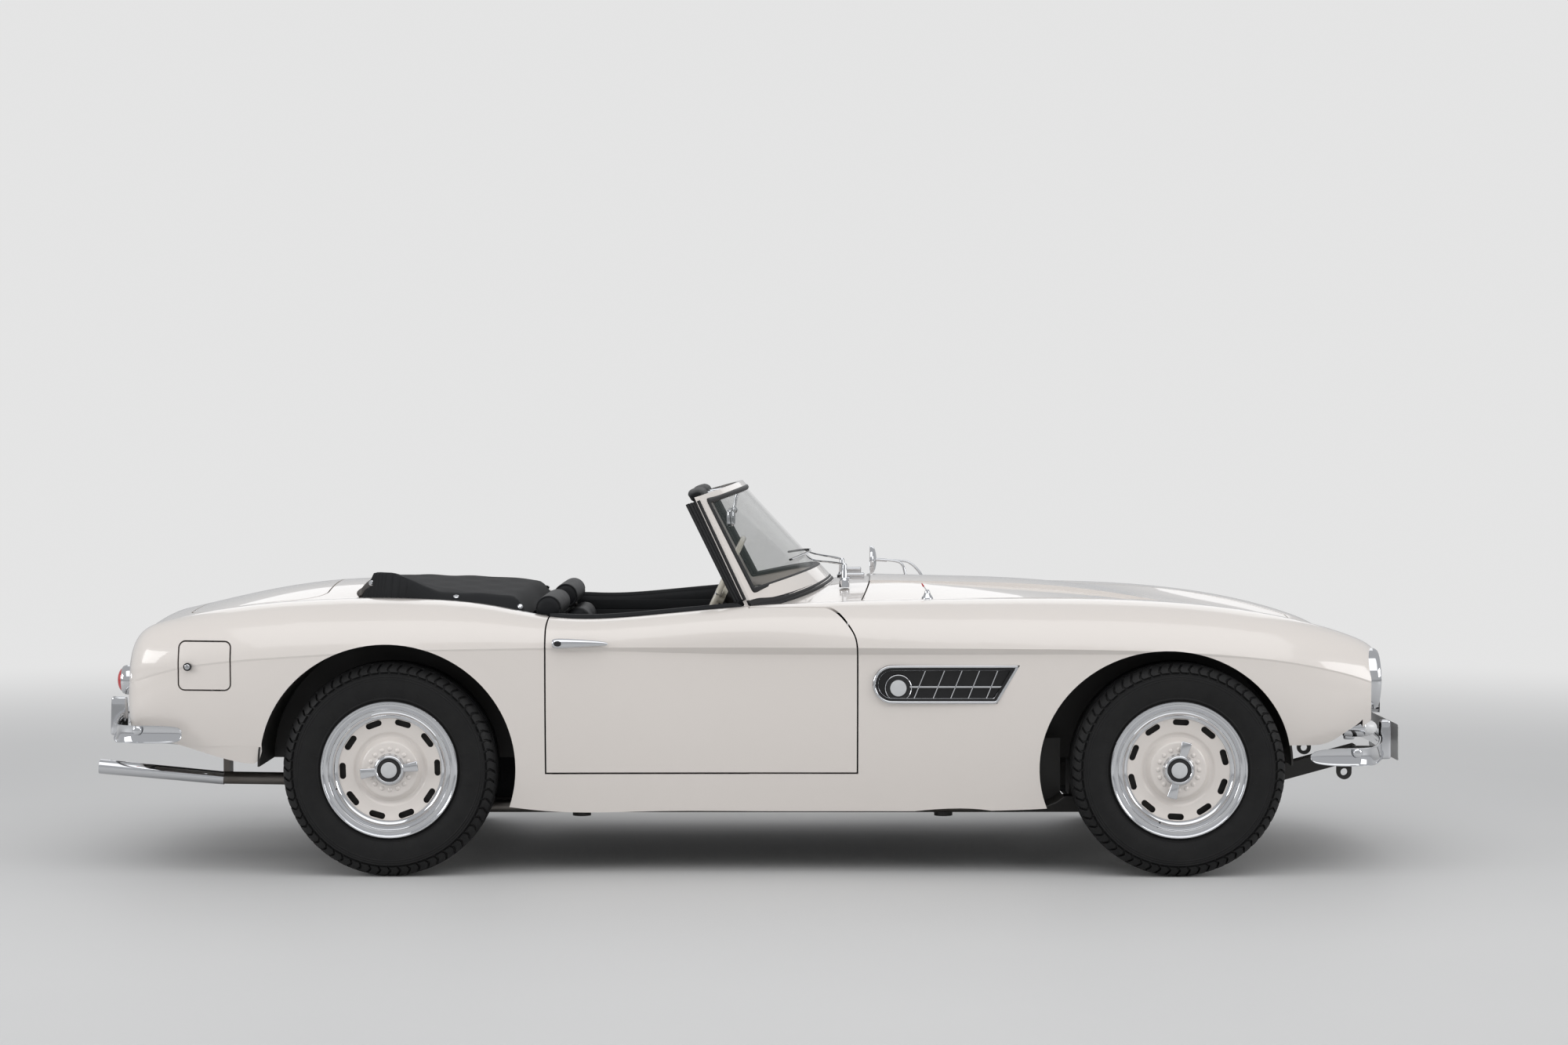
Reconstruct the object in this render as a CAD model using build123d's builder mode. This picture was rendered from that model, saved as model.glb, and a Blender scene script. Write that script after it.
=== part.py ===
"""Roadster convertible: a two-seat open car with its body, running gear, cabin and trim.

Millimetres. +X is forward, +Y is the car's left, +Z is up, and the origin is on the ground at
the middle of the car's box.
"""
import os
from math import cos, radians, sin, sqrt

from build123d import *

os.makedirs("parts", exist_ok=True)

# ---------------------------------------------------------------- driving sizes
LENGTH = 4268.0             # over the front plate and the rear over-riders
WHEELBASE = 2480.0
FRONT_AXLE_X = 1340.0
REAR_AXLE_X = FRONT_AXLE_X - WHEELBASE
FRONT_TRACK = 1445.0
REAR_TRACK = 1425.0
TYRE_RADIUS = 338.0
TYRE_WIDTH = 185.0
RIM_RADIUS = 203.0          # bead seat
FRONT_X = LENGTH / 2        # foremost point, on the number plate
REAR_X = -LENGTH / 2

SKIN = 16.0                 # body panel with its inner frame
GAP = 5.0                   # shut line round a moving panel
SEAT_GAP = 0.3              # between a piece and what it is seated on

DOOR_REAR_X = -653.0
DOOR_FRONT_X = 334.0
DOOR_BOTTOM_Z = 322.0
DOOR_INNER_Y = 668.0        # inner face of the door
SILL_Z = 202.0
FLOOR_Z = 222.0             # top of the floor
PANEL = 8.0                 # floor and bulkheads
FLOOR_LOW_Z = FLOOR_Z - PANEL
BELT_Z = 820.0

# ---------------------------------------------------------------- body outline
# One row is one cross-section of the left half of the body, cut square to the centre line and
# then swept back by "sweep" degrees. Heights (z) and half widths (y) are given for:
#   centre: the top on the centre line        lid: the edge of the bonnet or the deck
#   crest:  the top of the wing               side: the widest line, at the swage
#   lip:    how far the swage stands out      foot: the lower edge of the side
BODY_SECTIONS = [
    # x, sweep, centre_z, lid_y, lid_z, crest_y, crest_z, side_y, side_z, lip, foot_y, foot_z
    (-2028, -4.0, 702, 400, 696, 570, 690, 676, 606, 2, 650, 486),
    (-2014, -4.0, 742, 420, 734, 600, 729, 712, 612, 2, 684, 448),
    (-1972, -3.0, 781, 435, 770, 622, 768, 744, 622, 2, 710, 416),
    (-1885, -2.0, 811, 445, 796, 632, 800, 776, 645, 2, 728, 388),
    (-1700, 0.0, 853, 450, 828, 636, 834, 806, 675, 2, 745, 352),
    (-1394, 0.0, 899, 455, 857, 638, 865, 824, 700, 2, 760, 300),
    (-1080, 0.0, 899, 470, 862, 642, 868, 825, 716, 2, 765, 262),
    (-820, 0.0, 868, 510, 841, 662, 846, 811, 720, 2, 756, 224),
    (-640, 0.0, 836, 545, 809, 690, 814, 799, 722, 3, 747, SILL_Z),
    (-300, 0.0, 838, 560, 815, 702, 822, 797, 723, 12, 742, SILL_Z),
    (0, 0.0, 872, 556, 840, 694, 848, 799, 723, 18, 741, SILL_Z),
    (334, 0.0, 908, 520, 856, 650, 862, 804, 722, 18, 742, SILL_Z),
    (760, 0.0, 896, 518, 864, 626, 868, 812, 720, 15, 746, 204),
    (1170, 0.0, 858, 514, 862, 620, 865, 818, 715, 9, 752, 245),
    (1480, 0.0, 802, 508, 840, 616, 843, 808, 700, 3, 748, 335),
    (1720, 2.0, 752, 500, 801, 612, 808, 784, 676, 2, 736, 372),
    (1890, 5.0, 700, 486, 762, 608, 773, 757, 650, 2, 722, 396),
    (1990, 8.0, 662, 474, 736, 608, 750, 743, 634, 2, 708, 430),
    (2050, 9.4, 640, 462, 712, 604, 730, 732, 620, 2, 696, 462),
    (2084, 10.0, 620, 448, 690, 596, 710, 722, 610, 2, 682, 486),
]
SECTION_X, SECTION_SWEEP = 0, 1


def section_plane(x, sweep):
    """The plane of a half section: its own x runs out to the left, its own y runs up."""
    turn = radians(sweep)
    return Plane(origin=(x, 0, 0), x_dir=(-sin(turn), cos(turn), 0), z_dir=(cos(turn), sin(turn), 0))


def half_section(row, wall):
    """One closed half section, with every outer line moved in by the wall."""
    x, sweep, centre_z, lid_y, lid_z, crest_y, crest_z, side_y, side_z, lip, foot_y, foot_z = row
    centre = (0, centre_z - wall)
    lid = (lid_y, lid_z - wall)
    crest = (crest_y, crest_z - wall)
    side = (side_y - wall, side_z)
    under = (side_y - wall - lip, side_z - lip - 4)
    # the inner hollow runs out below the body, which leaves the shell open underneath
    foot = (foot_y - wall, foot_z - 6 * wall)
    with BuildSketch(section_plane(x, sweep)) as section:
        with BuildLine():
            TangentArc(centre, lid, tangent=(1, 0))
            TangentArc(crest, lid, tangent=(-1, 0))
            TangentArc(crest, side, tangent=(1, 0))
            Line(side, under)
            SagittaArc(under, foot, 14)
            Line(foot, (0, foot[1]))
            Line((0, foot[1]), centre)
        make_face()
    return section.sketch


def half_body(wall, rows):
    with BuildPart() as half:
        loft(sections=[half_section(row, wall) for row in rows])
    return half.part


outer_half = half_body(0.0, BODY_SECTIONS)
inner_half = half_body(SKIN, BODY_SECTIONS[1:-1])
lining_half = half_body(SKIN + SEAT_GAP, BODY_SECTIONS[1:-1])


# ---------------------------------------------------------------- cutters shared by the panels
FAR = 3000.0                # longer than anything a cutter has to pass
BODY_WIDTH = 1650.0


def finish(piece, name):
    """Names a finished piece and writes its STEP file."""
    piece.label = name
    export_step(piece, f"parts/{name}.step")


def across(side):
    """The plane for side-view outlines: its x runs forward and its y runs up."""
    return Plane(origin=(0, 0, 0), x_dir=(1, 0, 0), z_dir=(0, -1, 0)).offset(-side)


def wheel_arch(axle_x, half_width, height):
    """What the wheel opening takes out of the left side."""
    with BuildPart() as arch:
        with BuildSketch(across(ARCH_INNER_Y)):
            with Locations((axle_x, ARCH_BASE_Z)):
                Ellipse(half_width, height)
        extrude(amount=-BODY_WIDTH)
    return arch.part


ARCH_INNER_Y = 470.0         # inner wall of the wheel tubs
ARCH_BASE_Z = 342.0
# centre_x, half width, height above the base line
FRONT_ARCH = (FRONT_AXLE_X - 37, 399.0, 371.0)
REAR_ARCH = (REAR_AXLE_X - 8, 403.0, 392.0)

DOOR_TOP_FRONT = (208.0, 852.0)     # where the front shut line meets the top of the door
DOOR_CUT_TOP_Z = 960.0
DOOR_POST_X = -8.0                  # ahead of here the screen's base keeps the shoulder
DOOR_POST_Y = 722.0
DOOR_POST_Z = 775.0


def door_zone(inset, inner_y):
    """The left door opening, or the door itself when it is inset by the shut line."""
    rear, front, bottom = DOOR_REAR_X + inset, DOOR_FRONT_X - inset, DOOR_BOTTOM_Z + inset
    top_x, top_z = DOOR_TOP_FRONT
    with BuildPart() as zone:
        with BuildSketch(across(inner_y)):
            with BuildLine():
                Line((rear, bottom), (rear, 768))
                TangentArc((rear, 768), (rear + 14, BELT_Z + 12), tangent=(0, 1))
                Line((rear + 14, BELT_Z + 12), (rear + 14, DOOR_CUT_TOP_Z))
                Line((rear + 14, DOOR_CUT_TOP_Z), (top_x - inset, DOOR_CUT_TOP_Z))
                Line((top_x - inset, DOOR_CUT_TOP_Z), (top_x - inset, top_z - inset))
                Spline(
                    (top_x - inset, top_z - inset), (264 - inset, 837 - inset),
                    (311 - inset, 785 - 0.3 * inset), (front, 680),
                    tangents=[(1, -0.08), (0, -1)],
                )
                Line((front, 680), (front, bottom))
                Line((front, bottom), (rear, bottom))
            make_face()
        extrude(amount=-BODY_WIDTH)
        with BuildSketch(Plane.XY.offset(DOOR_POST_Z - inset)):
            with Locations((DOOR_POST_X - inset, 0)):
                Rectangle(FAR, 2 * (DOOR_POST_Y + inset), align=(Align.MIN, Align.CENTER))
        extrude(amount=FAR, mode=Mode.SUBTRACT)
    return zone.part


BONNET_REAR_X = 389.0
BONNET_REAR_SIDE_X = 350.0
BONNET_FRONT_X = 1992.0
BONNET_HALF_REAR = 518.0
BONNET_HALF_FRONT = 474.0
BONNET_CORNER_X = 1868.0
LID_FLOOR_Z = 480.0         # panels cut from above stop here


def bonnet_zone(grow):
    with BuildPart() as zone:
        with BuildSketch(Plane.XY.offset(LID_FLOOR_Z)):
            with BuildLine():
                ThreePointArc(
                    (BONNET_REAR_SIDE_X, BONNET_HALF_REAR),
                    (BONNET_REAR_X, 0),
                    (BONNET_REAR_SIDE_X, -BONNET_HALF_REAR),
                )
                for side in (1, -1):
                    Line((BONNET_REAR_SIDE_X, side * BONNET_HALF_REAR), (1500, side * 508))
                    Line((1500, side * 508), (BONNET_CORNER_X, side * BONNET_HALF_FRONT))
                    Line((BONNET_CORNER_X, side * BONNET_HALF_FRONT), (BONNET_FRONT_X, 0))
            make_face()
            offset(amount=grow, kind=Kind.INTERSECTION)
        extrude(amount=FAR)
    return zone.part


BOOT_FRONT_X = -1392.0
BOOT_REAR_X = -1838.0
BOOT_HALF = 440.0
BOOT_CORNER = 95.0


def boot_zone(grow):
    with BuildPart() as zone:
        with BuildSketch(Plane.XY.offset(LID_FLOOR_Z)):
            with Locations(((BOOT_FRONT_X + BOOT_REAR_X) / 2, 0)):
                RectangleRounded(BOOT_FRONT_X - BOOT_REAR_X, 2 * BOOT_HALF, BOOT_CORNER)
            offset(amount=grow, kind=Kind.INTERSECTION)
        extrude(amount=FAR)
    return zone.part


FLAP_X = (-1802.0, -1635.0)
FLAP_Z = (589.0, 742.0)
FLAP_CORNER = 20.0


def flap_zone(grow):
    """The fuel flap in the right rear quarter."""
    with BuildPart() as zone:
        with BuildSketch(across(-600.0)):
            with Locations((sum(FLAP_X) / 2, sum(FLAP_Z) / 2)):
                RectangleRounded(
                    FLAP_X[1] - FLAP_X[0] + 2 * grow, FLAP_Z[1] - FLAP_Z[0] + 2 * grow,
                    FLAP_CORNER + grow,
                )
        extrude(amount=BODY_WIDTH)
    return zone.part


COWL_REAR_X = 250.0         # rear edge of the cowl on the centre line
COWL_SIDE_Y = 622.0
COCKPIT_REAR_X = -1290.0
COCKPIT_HALF = 650.0


def cockpit_zone(grow):
    """The opening in the top of the body, from the cowl back to the deck."""
    with BuildPart() as zone:
        with BuildSketch(Plane.XY.offset(LID_FLOOR_Z)):
            with BuildLine():
                for side in (1, -1):
                    Line((DOOR_POST_X, side * COWL_SIDE_Y), (DOOR_POST_X, side * 690))
                    Line((DOOR_POST_X, side * 690), (DOOR_REAR_X, side * 690))
                    Line((DOOR_REAR_X, side * 690), (DOOR_REAR_X, side * COCKPIT_HALF))
                    Line((DOOR_REAR_X, side * COCKPIT_HALF), (-1010, side * 618))
                    TangentArc((-1010, side * 618), (COCKPIT_REAR_X, side * 300), tangent=(-1, side * 0.09))
                Line((COCKPIT_REAR_X, 300), (COCKPIT_REAR_X, -300))
                ThreePointArc((DOOR_POST_X, COWL_SIDE_Y), (COWL_REAR_X, 0), (DOOR_POST_X, -COWL_SIDE_Y))
            make_face()
            if grow:
                offset(amount=grow, kind=Kind.INTERSECTION)
        extrude(amount=FAR)
    return zone.part


def slab(x_low, x_high, y_low, y_high, z_low, z_high):
    """A plain block between two corners."""
    with BuildPart() as block:
        with BuildSketch(Plane.XY.offset(z_low)):
            with Locations(((x_low + x_high) / 2, (y_low + y_high) / 2)):
                Rectangle(x_high - x_low, y_high - y_low)
        extrude(amount=z_high - z_low)
    return block.part


# ---------------------------------------------------------------- lamp, grille and vent places
HEADLIGHT_Y, HEADLIGHT_Z, HEADLIGHT_RADIUS = 610.0, 610.0, 98.0
SIGNAL_Y, SIGNAL_Z, SIGNAL_RADIUS = 655.0, 455.0, 29.5
TAIL_LIGHT_Y, TAIL_LIGHT_Z, TAIL_LIGHT_RADIUS = 640.0, 610.0, 41.0
GRILLE_Y = (28.0, 425.0)        # along the swept nose, from the centre line
GRILLE_Z = (482.0, 612.0)
GRILLE_CORNER = 55.0
VENT_X = (379.0, 840.0)
VENT_Z = (546.5, 667.0)
NOSE_X, NOSE_SWEEP = BODY_SECTIONS[-1][SECTION_X], BODY_SECTIONS[-1][SECTION_SWEEP]


def lamp_bore(y, z, radius, x_low, x_high):
    with BuildPart() as bore:
        with BuildSketch(Plane.YZ.offset(x_low)):
            with Locations((y, z)):
                Circle(radius)
        extrude(amount=x_high - x_low)
    return bore.part


def grille_hole(grow, depth):
    with BuildPart() as hole:
        with BuildSketch(section_plane(NOSE_X, NOSE_SWEEP)):
            with Locations((sum(GRILLE_Y) / 2, sum(GRILLE_Z) / 2)):
                RectangleRounded(
                    GRILLE_Y[1] - GRILLE_Y[0] + 2 * grow, GRILLE_Z[1] - GRILLE_Z[0] + 2 * grow,
                    GRILLE_CORNER + grow,
                )
        extrude(amount=depth, both=True)
    return hole.part


def vent_outline(grow):
    """A vent that is round behind and cut on a slant in front, as a sketch in side view."""
    low, high = VENT_Z[0] - grow, VENT_Z[1] + grow
    rear, front = VENT_X[0] - grow, VENT_X[1] + grow
    round_radius = (high - low) / 2
    with BuildSketch() as outline:
        with BuildLine():
            ThreePointArc(
                (rear + round_radius, low), (rear, low + round_radius), (rear + round_radius, high)
            )
            Line((rear + round_radius, high), (front, high))
            Line((front, high), (front - 71, low))
            Line((front - 71, low), (rear + round_radius, low))
        make_face()
    return outline.sketch


def vent_block(grow, y_low, y_high):
    with BuildPart() as block:
        with BuildSketch(across(y_low)):
            add(vent_outline(grow))
        extrude(amount=-(y_high - y_low))
    return block.part


# ---------------------------------------------------------------- body shell
with BuildPart() as both_halves:
    add(outer_half)
    mirror(about=Plane.XZ)

with BuildPart() as shell_half:
    add(outer_half)
    add(inner_half, mode=Mode.SUBTRACT)
    add(wheel_arch(*FRONT_ARCH), mode=Mode.SUBTRACT)
    add(wheel_arch(*REAR_ARCH), mode=Mode.SUBTRACT)

with BuildPart() as open_half:
    add(shell_half.part)
    add(door_zone(0.0, 560.0), mode=Mode.SUBTRACT)
    add(cockpit_zone(0.0), mode=Mode.SUBTRACT)

LEDGE_BITE = 8.0            # how deep a ledge is let into the fixed panel


def ledge(x_low, x_high, split_y, z_low):
    """A ledge under the left edge of a lid, held by the fixed panel outside the shut line."""
    with BuildPart() as fixed:
        add(Pos(0, 0, -LEDGE_BITE) * outer_half)
        add(slab(x_low, x_high, split_y + GAP, split_y + 34, z_low, FAR), mode=Mode.INTERSECT)
    with BuildPart() as block:
        add(lining_half)
        add(slab(x_low, x_high, split_y - 24, split_y + GAP, z_low, FAR), mode=Mode.INTERSECT)
        add(fixed.part)
    return block.part


SILL_SPLIT_Z = DOOR_BOTTOM_Z - 0.5
with BuildPart() as front_body:
    add(open_half.part)
    add(slab(DOOR_POST_X - 1, FAR, 0, FAR, 0, FAR), mode=Mode.INTERSECT)
    add(slab(-FAR, DOOR_FRONT_X, 0, FAR, 0, SILL_SPLIT_Z), mode=Mode.SUBTRACT)
    add(bonnet_zone(GAP / 2), mode=Mode.SUBTRACT)
    add(lamp_bore(HEADLIGHT_Y, HEADLIGHT_Z, HEADLIGHT_RADIUS + SEAT_GAP, 1800, FAR), mode=Mode.SUBTRACT)
    add(lamp_bore(SIGNAL_Y, SIGNAL_Z, SIGNAL_RADIUS + SEAT_GAP, 1800, FAR), mode=Mode.SUBTRACT)
    add(grille_hole(SEAT_GAP, 200), mode=Mode.SUBTRACT)
    add(vent_block(SEAT_GAP, 700, FAR), mode=Mode.SUBTRACT)
    for x in (760, 1240):
        add(ledge(x, x + 40, BONNET_HALF_REAR - 4, 790))
    mirror(about=Plane.XZ)
finish(front_body.part, "front_body")

with BuildPart() as rear_body:
    add(open_half.part)
    add(slab(-FAR, DOOR_REAR_X + 20, 0, FAR, 0, FAR), mode=Mode.INTERSECT)
    add(slab(DOOR_REAR_X, FAR, 0, FAR, 0, SILL_SPLIT_Z), mode=Mode.SUBTRACT)
    add(boot_zone(GAP / 2), mode=Mode.SUBTRACT)
    add(
        lamp_bore(TAIL_LIGHT_Y, TAIL_LIGHT_Z, TAIL_LIGHT_RADIUS + SEAT_GAP, -FAR, -1900),
        mode=Mode.SUBTRACT,
    )
    add(ledge(-1640, -1590, BOOT_HALF, 780))
    mirror(about=Plane.XZ)
    add(flap_zone(GAP / 2), mode=Mode.SUBTRACT)
finish(rear_body.part, "rear_body")

SILL_TOP_Z = SILL_SPLIT_Z - SEAT_GAP
DOOR_STOP = (-600.0, 230.0)         # the door shuts against a lip along the sill
with BuildPart() as sills:
    add(outer_half)
    add(slab(DOOR_REAR_X, DOOR_FRONT_X, DOOR_INNER_Y, FAR, 0, SILL_TOP_Z), mode=Mode.INTERSECT)
    add(slab(*DOOR_STOP, DOOR_INNER_Y - 14, DOOR_INNER_Y + 20, SILL_TOP_Z - 30, SILL_TOP_Z))
    add(slab(*DOOR_STOP, DOOR_INNER_Y - 14, DOOR_INNER_Y - SEAT_GAP, SILL_TOP_Z - 2, SILL_TOP_Z + 26))
    mirror(about=Plane.XZ)
finish(sills.part, "sills")

# ---------------------------------------------------------------- moving panels
# The bonnet carries a raised middle with a crisp edge, which fades out towards the nose.
# Its half width and its height above the panel are given at body sections.
BULGE = {
    -300: (214, 9), 0: (214, 10), 334: (212, 11), 760: (206, 12), 1170: (190, 12), 1480: (168, 9),
    1720: (140, 5), 1890: (112, 1), 1990: (96, -4),
}
BULGE_ROOT = 12.0           # how far it reaches down into the panel


def bulge_section(row):
    """A crescent over the middle of a body section, from the centre line to the bulge's edge."""
    x, sweep, centre_z, lid_y, lid_z = row[:5]
    half, high = BULGE[x]
    drop = centre_z - lid_z
    radius = (lid_y ** 2 + drop ** 2) / (2 * drop) if drop > 0 else -(lid_y ** 2 + drop ** 2) / (-2 * drop)

    def fall(y):
        bend = abs(radius) - sqrt(radius ** 2 - y ** 2)
        return centre_z - (bend if drop > 0 else -bend)

    edge = (half, fall(half) + high - 2)
    foot = (half + 5, fall(half + 5) - BULGE_ROOT)
    with BuildSketch(section_plane(x, sweep)) as section:
        with BuildLine():
            ThreePointArc((0, centre_z + high), (half / 2, fall(half / 2) + high - 0.4), edge)
            Line(edge, foot)
            Line(foot, (0, centre_z - BULGE_ROOT))
            Line((0, centre_z - BULGE_ROOT), (0, centre_z + high))
        make_face()
    return section.sketch


with BuildPart() as bulge:
    loft(sections=[bulge_section(row) for row in BODY_SECTIONS if row[SECTION_X] in BULGE])
    add(bonnet_zone(-GAP / 2), mode=Mode.INTERSECT)

with BuildPart() as bonnet:
    add(shell_half.part)
    add(bonnet_zone(-GAP / 2), mode=Mode.INTERSECT)
    add(bulge.part)
    mirror(about=Plane.XZ)
finish(bonnet.part, "bonnet")

with BuildPart() as boot_lid:
    add(shell_half.part)
    add(boot_zone(-GAP / 2), mode=Mode.INTERSECT)
    mirror(about=Plane.XZ)
finish(boot_lid.part, "boot_lid")

with BuildPart() as shell_right:
    add(shell_half.part)
    mirror(about=Plane.XZ, mode=Mode.REPLACE)

with BuildPart() as fuel_flap:
    add(shell_right.part)
    add(flap_zone(-GAP / 2), mode=Mode.INTERSECT)
finish(fuel_flap.part, "fuel_flap")

with BuildPart() as door_left:
    add(outer_half)
    add(door_zone(GAP, DOOR_INNER_Y), mode=Mode.INTERSECT)
finish(door_left.part, "door_left")

with BuildPart() as door_right:
    add(door_left.part)
    mirror(about=Plane.XZ, mode=Mode.REPLACE)
finish(door_right.part, "door_right")

# ---------------------------------------------------------------- running gear
AXLES = {"front": (FRONT_AXLE_X, FRONT_TRACK / 2), "rear": (REAR_AXLE_X, REAR_TRACK / 2)}
SIDES = {"right": -1, "left": 1}
FLANGE_RADIUS = 218.0
BARREL_RADIUS = 194.0
RIM_HALF = 86.0             # half width over the rim flanges
DISC_THICK = 6.0
SLOT_COUNT = 10
SLOT_LENGTH, SLOT_WIDTH = 49.0, 12.0
SLOT_RADIUS = 149.0
HUB_RADIUS = 48.0
EAR_RADIUS = 92.0
EAR_WIDTH = 24.0
EAR_TURN = {"front": 105.0, "rear": 8.0}     # how far the knock-off's ears are turned
SPINDLE_RADIUS = 24.0
SPINDLE_CLEARANCE = 0.5
DRUM_RADIUS = 128.0


def wheel_plane(axle, side):
    """The wheel's own axes: x forward, y outward from the car, at the wheel's centre."""
    axle_x, half_track = AXLES[axle]
    return Plane(
        origin=(axle_x, SIDES[side] * half_track, TYRE_RADIUS),
        x_dir=(1, 0, 0),
        z_dir=(0, 0, SIDES[side]),
    )


def wheel_axis(axle, side):
    axle_x, half_track = AXLES[axle]
    return Axis((axle_x, SIDES[side] * half_track, TYRE_RADIUS), (0, 1, 0))


def tyre(axle, side):
    """One tyre, from the bead to the rounded shoulders and the crown."""
    bead, half = RIM_RADIUS + SEAT_GAP, TYRE_WIDTH / 2
    with BuildPart() as ring:
        with BuildSketch(wheel_plane(axle, side)):
            with BuildLine():
                for out in (1, -1):
                    ThreePointArc((bead, out * (half - 24)), (250, out * (half - 4)), (278, out * half))
                    ThreePointArc((278, out * half), (312, out * (half - 8)), (TYRE_RADIUS - 5, out * 60))
                ThreePointArc((TYRE_RADIUS - 5, 60), (TYRE_RADIUS, 0), (TYRE_RADIUS - 5, -60))
                Line((bead, half - 24), (bead, -(half - 24)))
            make_face()
        revolve(axis=wheel_axis(axle, side))
    return ring.part


def wheel(axle, side):
    """One steel wheel with a slotted, dished disc and a two-eared knock-off."""
    local = wheel_plane(axle, side)
    axle_x, half_track = AXLES[axle]
    face = Plane(origin=local.origin, x_dir=(1, 0, 0), z_dir=(0, -1, 0))
    out = -SIDES[side]      # the face plane's own z runs to the car's right
    with BuildPart() as disc_wheel:
        with BuildSketch(local):
            with BuildLine():
                Polyline(
                    (BARREL_RADIUS, -RIM_HALF + 12), (FLANGE_RADIUS, -RIM_HALF),
                    (FLANGE_RADIUS, -RIM_HALF + 7), (RIM_RADIUS, -RIM_HALF + 14),
                    (RIM_RADIUS, RIM_HALF - 14), (FLANGE_RADIUS, RIM_HALF - 7),
                    (FLANGE_RADIUS, RIM_HALF), (207, RIM_HALF), (198, RIM_HALF - 8),
                    (BARREL_RADIUS, 56), (170, 64), (148, 59), (118, 52), (88, 57),
                    (84, 66), (52, 68), (HUB_RADIUS, 74), (HUB_RADIUS, 88), (30, 94), (0, 94),
                    (0, 62), (SPINDLE_RADIUS + SPINDLE_CLEARANCE, 62),
                    (SPINDLE_RADIUS + SPINDLE_CLEARANCE, 46), (60, 46), (84, 50), (118, 46),
                    (148, 53), (170, 58), (BARREL_RADIUS, 44), close=True,
                )
            make_face()
        revolve(axis=wheel_axis(axle, side))
        with BuildSketch(face):
            with PolarLocations(SLOT_RADIUS, SLOT_COUNT):
                SlotOverall(SLOT_LENGTH, SLOT_WIDTH, rotation=90)
        extrude(amount=out * RIM_HALF, mode=Mode.SUBTRACT)
        with BuildSketch(face.offset(out * 76)):
            with Locations(Rotation(0, 0, -EAR_TURN[axle])):
                SlotOverall(2 * EAR_RADIUS, EAR_WIDTH)
        extrude(amount=out * 14)
    return disc_wheel.part


def hub_end(axle, side):
    """The fixed drum and the spindle that a wheel turns on."""
    face = Plane(origin=wheel_plane(axle, side).origin, x_dir=(1, 0, 0), z_dir=(0, -1, 0))
    out = -SIDES[side]
    with BuildPart() as hub:
        with BuildSketch(face.offset(out * -58)):
            Circle(DRUM_RADIUS)
        extrude(amount=out * 90)
        with BuildSketch(face):
            Circle(SPINDLE_RADIUS)
        extrude(amount=out * (62 - SPINDLE_CLEARANCE))
    return hub.part


for axle in AXLES:
    for side in SIDES:
        finish(wheel(axle, side), f"wheel_{axle}_{side}")
        finish(tyre(axle, side), f"tyre_{axle}_{side}")

KINGPIN_IN = 32.0           # how far the steering axis lies inboard of the wheel's middle
KINGPIN_RADIUS = 20.0
KINGPIN_HALF = 150.0
ARM_THICK = 22.0
KINGPIN_Y = FRONT_TRACK / 2 - KINGPIN_IN

for side, sign in SIDES.items():
    with BuildPart() as knuckle:
        add(hub_end("front", side))
        with BuildSketch(Plane.XY.offset(TYRE_RADIUS - KINGPIN_HALF)):
            with Locations((FRONT_AXLE_X, sign * KINGPIN_Y)):
                Circle(KINGPIN_RADIUS)
        extrude(amount=2 * KINGPIN_HALF)
    finish(knuckle.part, f"knuckle_{side}")

RAIL_Y = 400.0
RAIL_HALF = 32.0
RAIL_LOW_Z, RAIL_HIGH_Z = 160.0, 212.0
AXLE_TUBE_RADIUS = 38.0
TOWER_THICK = 20.0
with BuildPart() as front_axle:
    # a cross beam under the rails with an upper and a lower arm at each side
    with BuildSketch(Plane.XY.offset(TYRE_RADIUS - KINGPIN_HALF - ARM_THICK - SEAT_GAP)):
        with Locations((FRONT_AXLE_X, 0)):
            Rectangle(110, 2 * (RAIL_Y + 60))
            for sign in SIDES.values():
                with Locations((0, sign * KINGPIN_Y)):
                    Circle(KINGPIN_RADIUS + 8)
                with Locations((0, sign * (KINGPIN_Y + RAIL_Y) / 2)):
                    Rectangle(48, KINGPIN_Y - RAIL_Y)
    extrude(amount=ARM_THICK)
    with BuildSketch(Plane.XY.offset(TYRE_RADIUS + KINGPIN_HALF + SEAT_GAP)):
        with Locations((FRONT_AXLE_X, 0)):
            Rectangle(60, 2 * (RAIL_Y + 30))
            for sign in SIDES.values():
                with Locations((0, sign * KINGPIN_Y)):
                    Circle(KINGPIN_RADIUS + 8)
                with Locations((0, sign * (KINGPIN_Y + RAIL_Y) / 2)):
                    Rectangle(48, KINGPIN_Y - RAIL_Y)
    extrude(amount=ARM_THICK)
    # towers that join the two levels outside the rails
    with BuildSketch(Plane.XY.offset(TYRE_RADIUS - KINGPIN_HALF - ARM_THICK)):
        for sign in SIDES.values():
            with Locations((FRONT_AXLE_X, sign * (RAIL_Y + RAIL_HALF + TOWER_THICK / 2 + SEAT_GAP))):
                Rectangle(60, TOWER_THICK)
    extrude(amount=2 * KINGPIN_HALF + 2 * ARM_THICK)
finish(front_axle.part, "front_axle")

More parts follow.
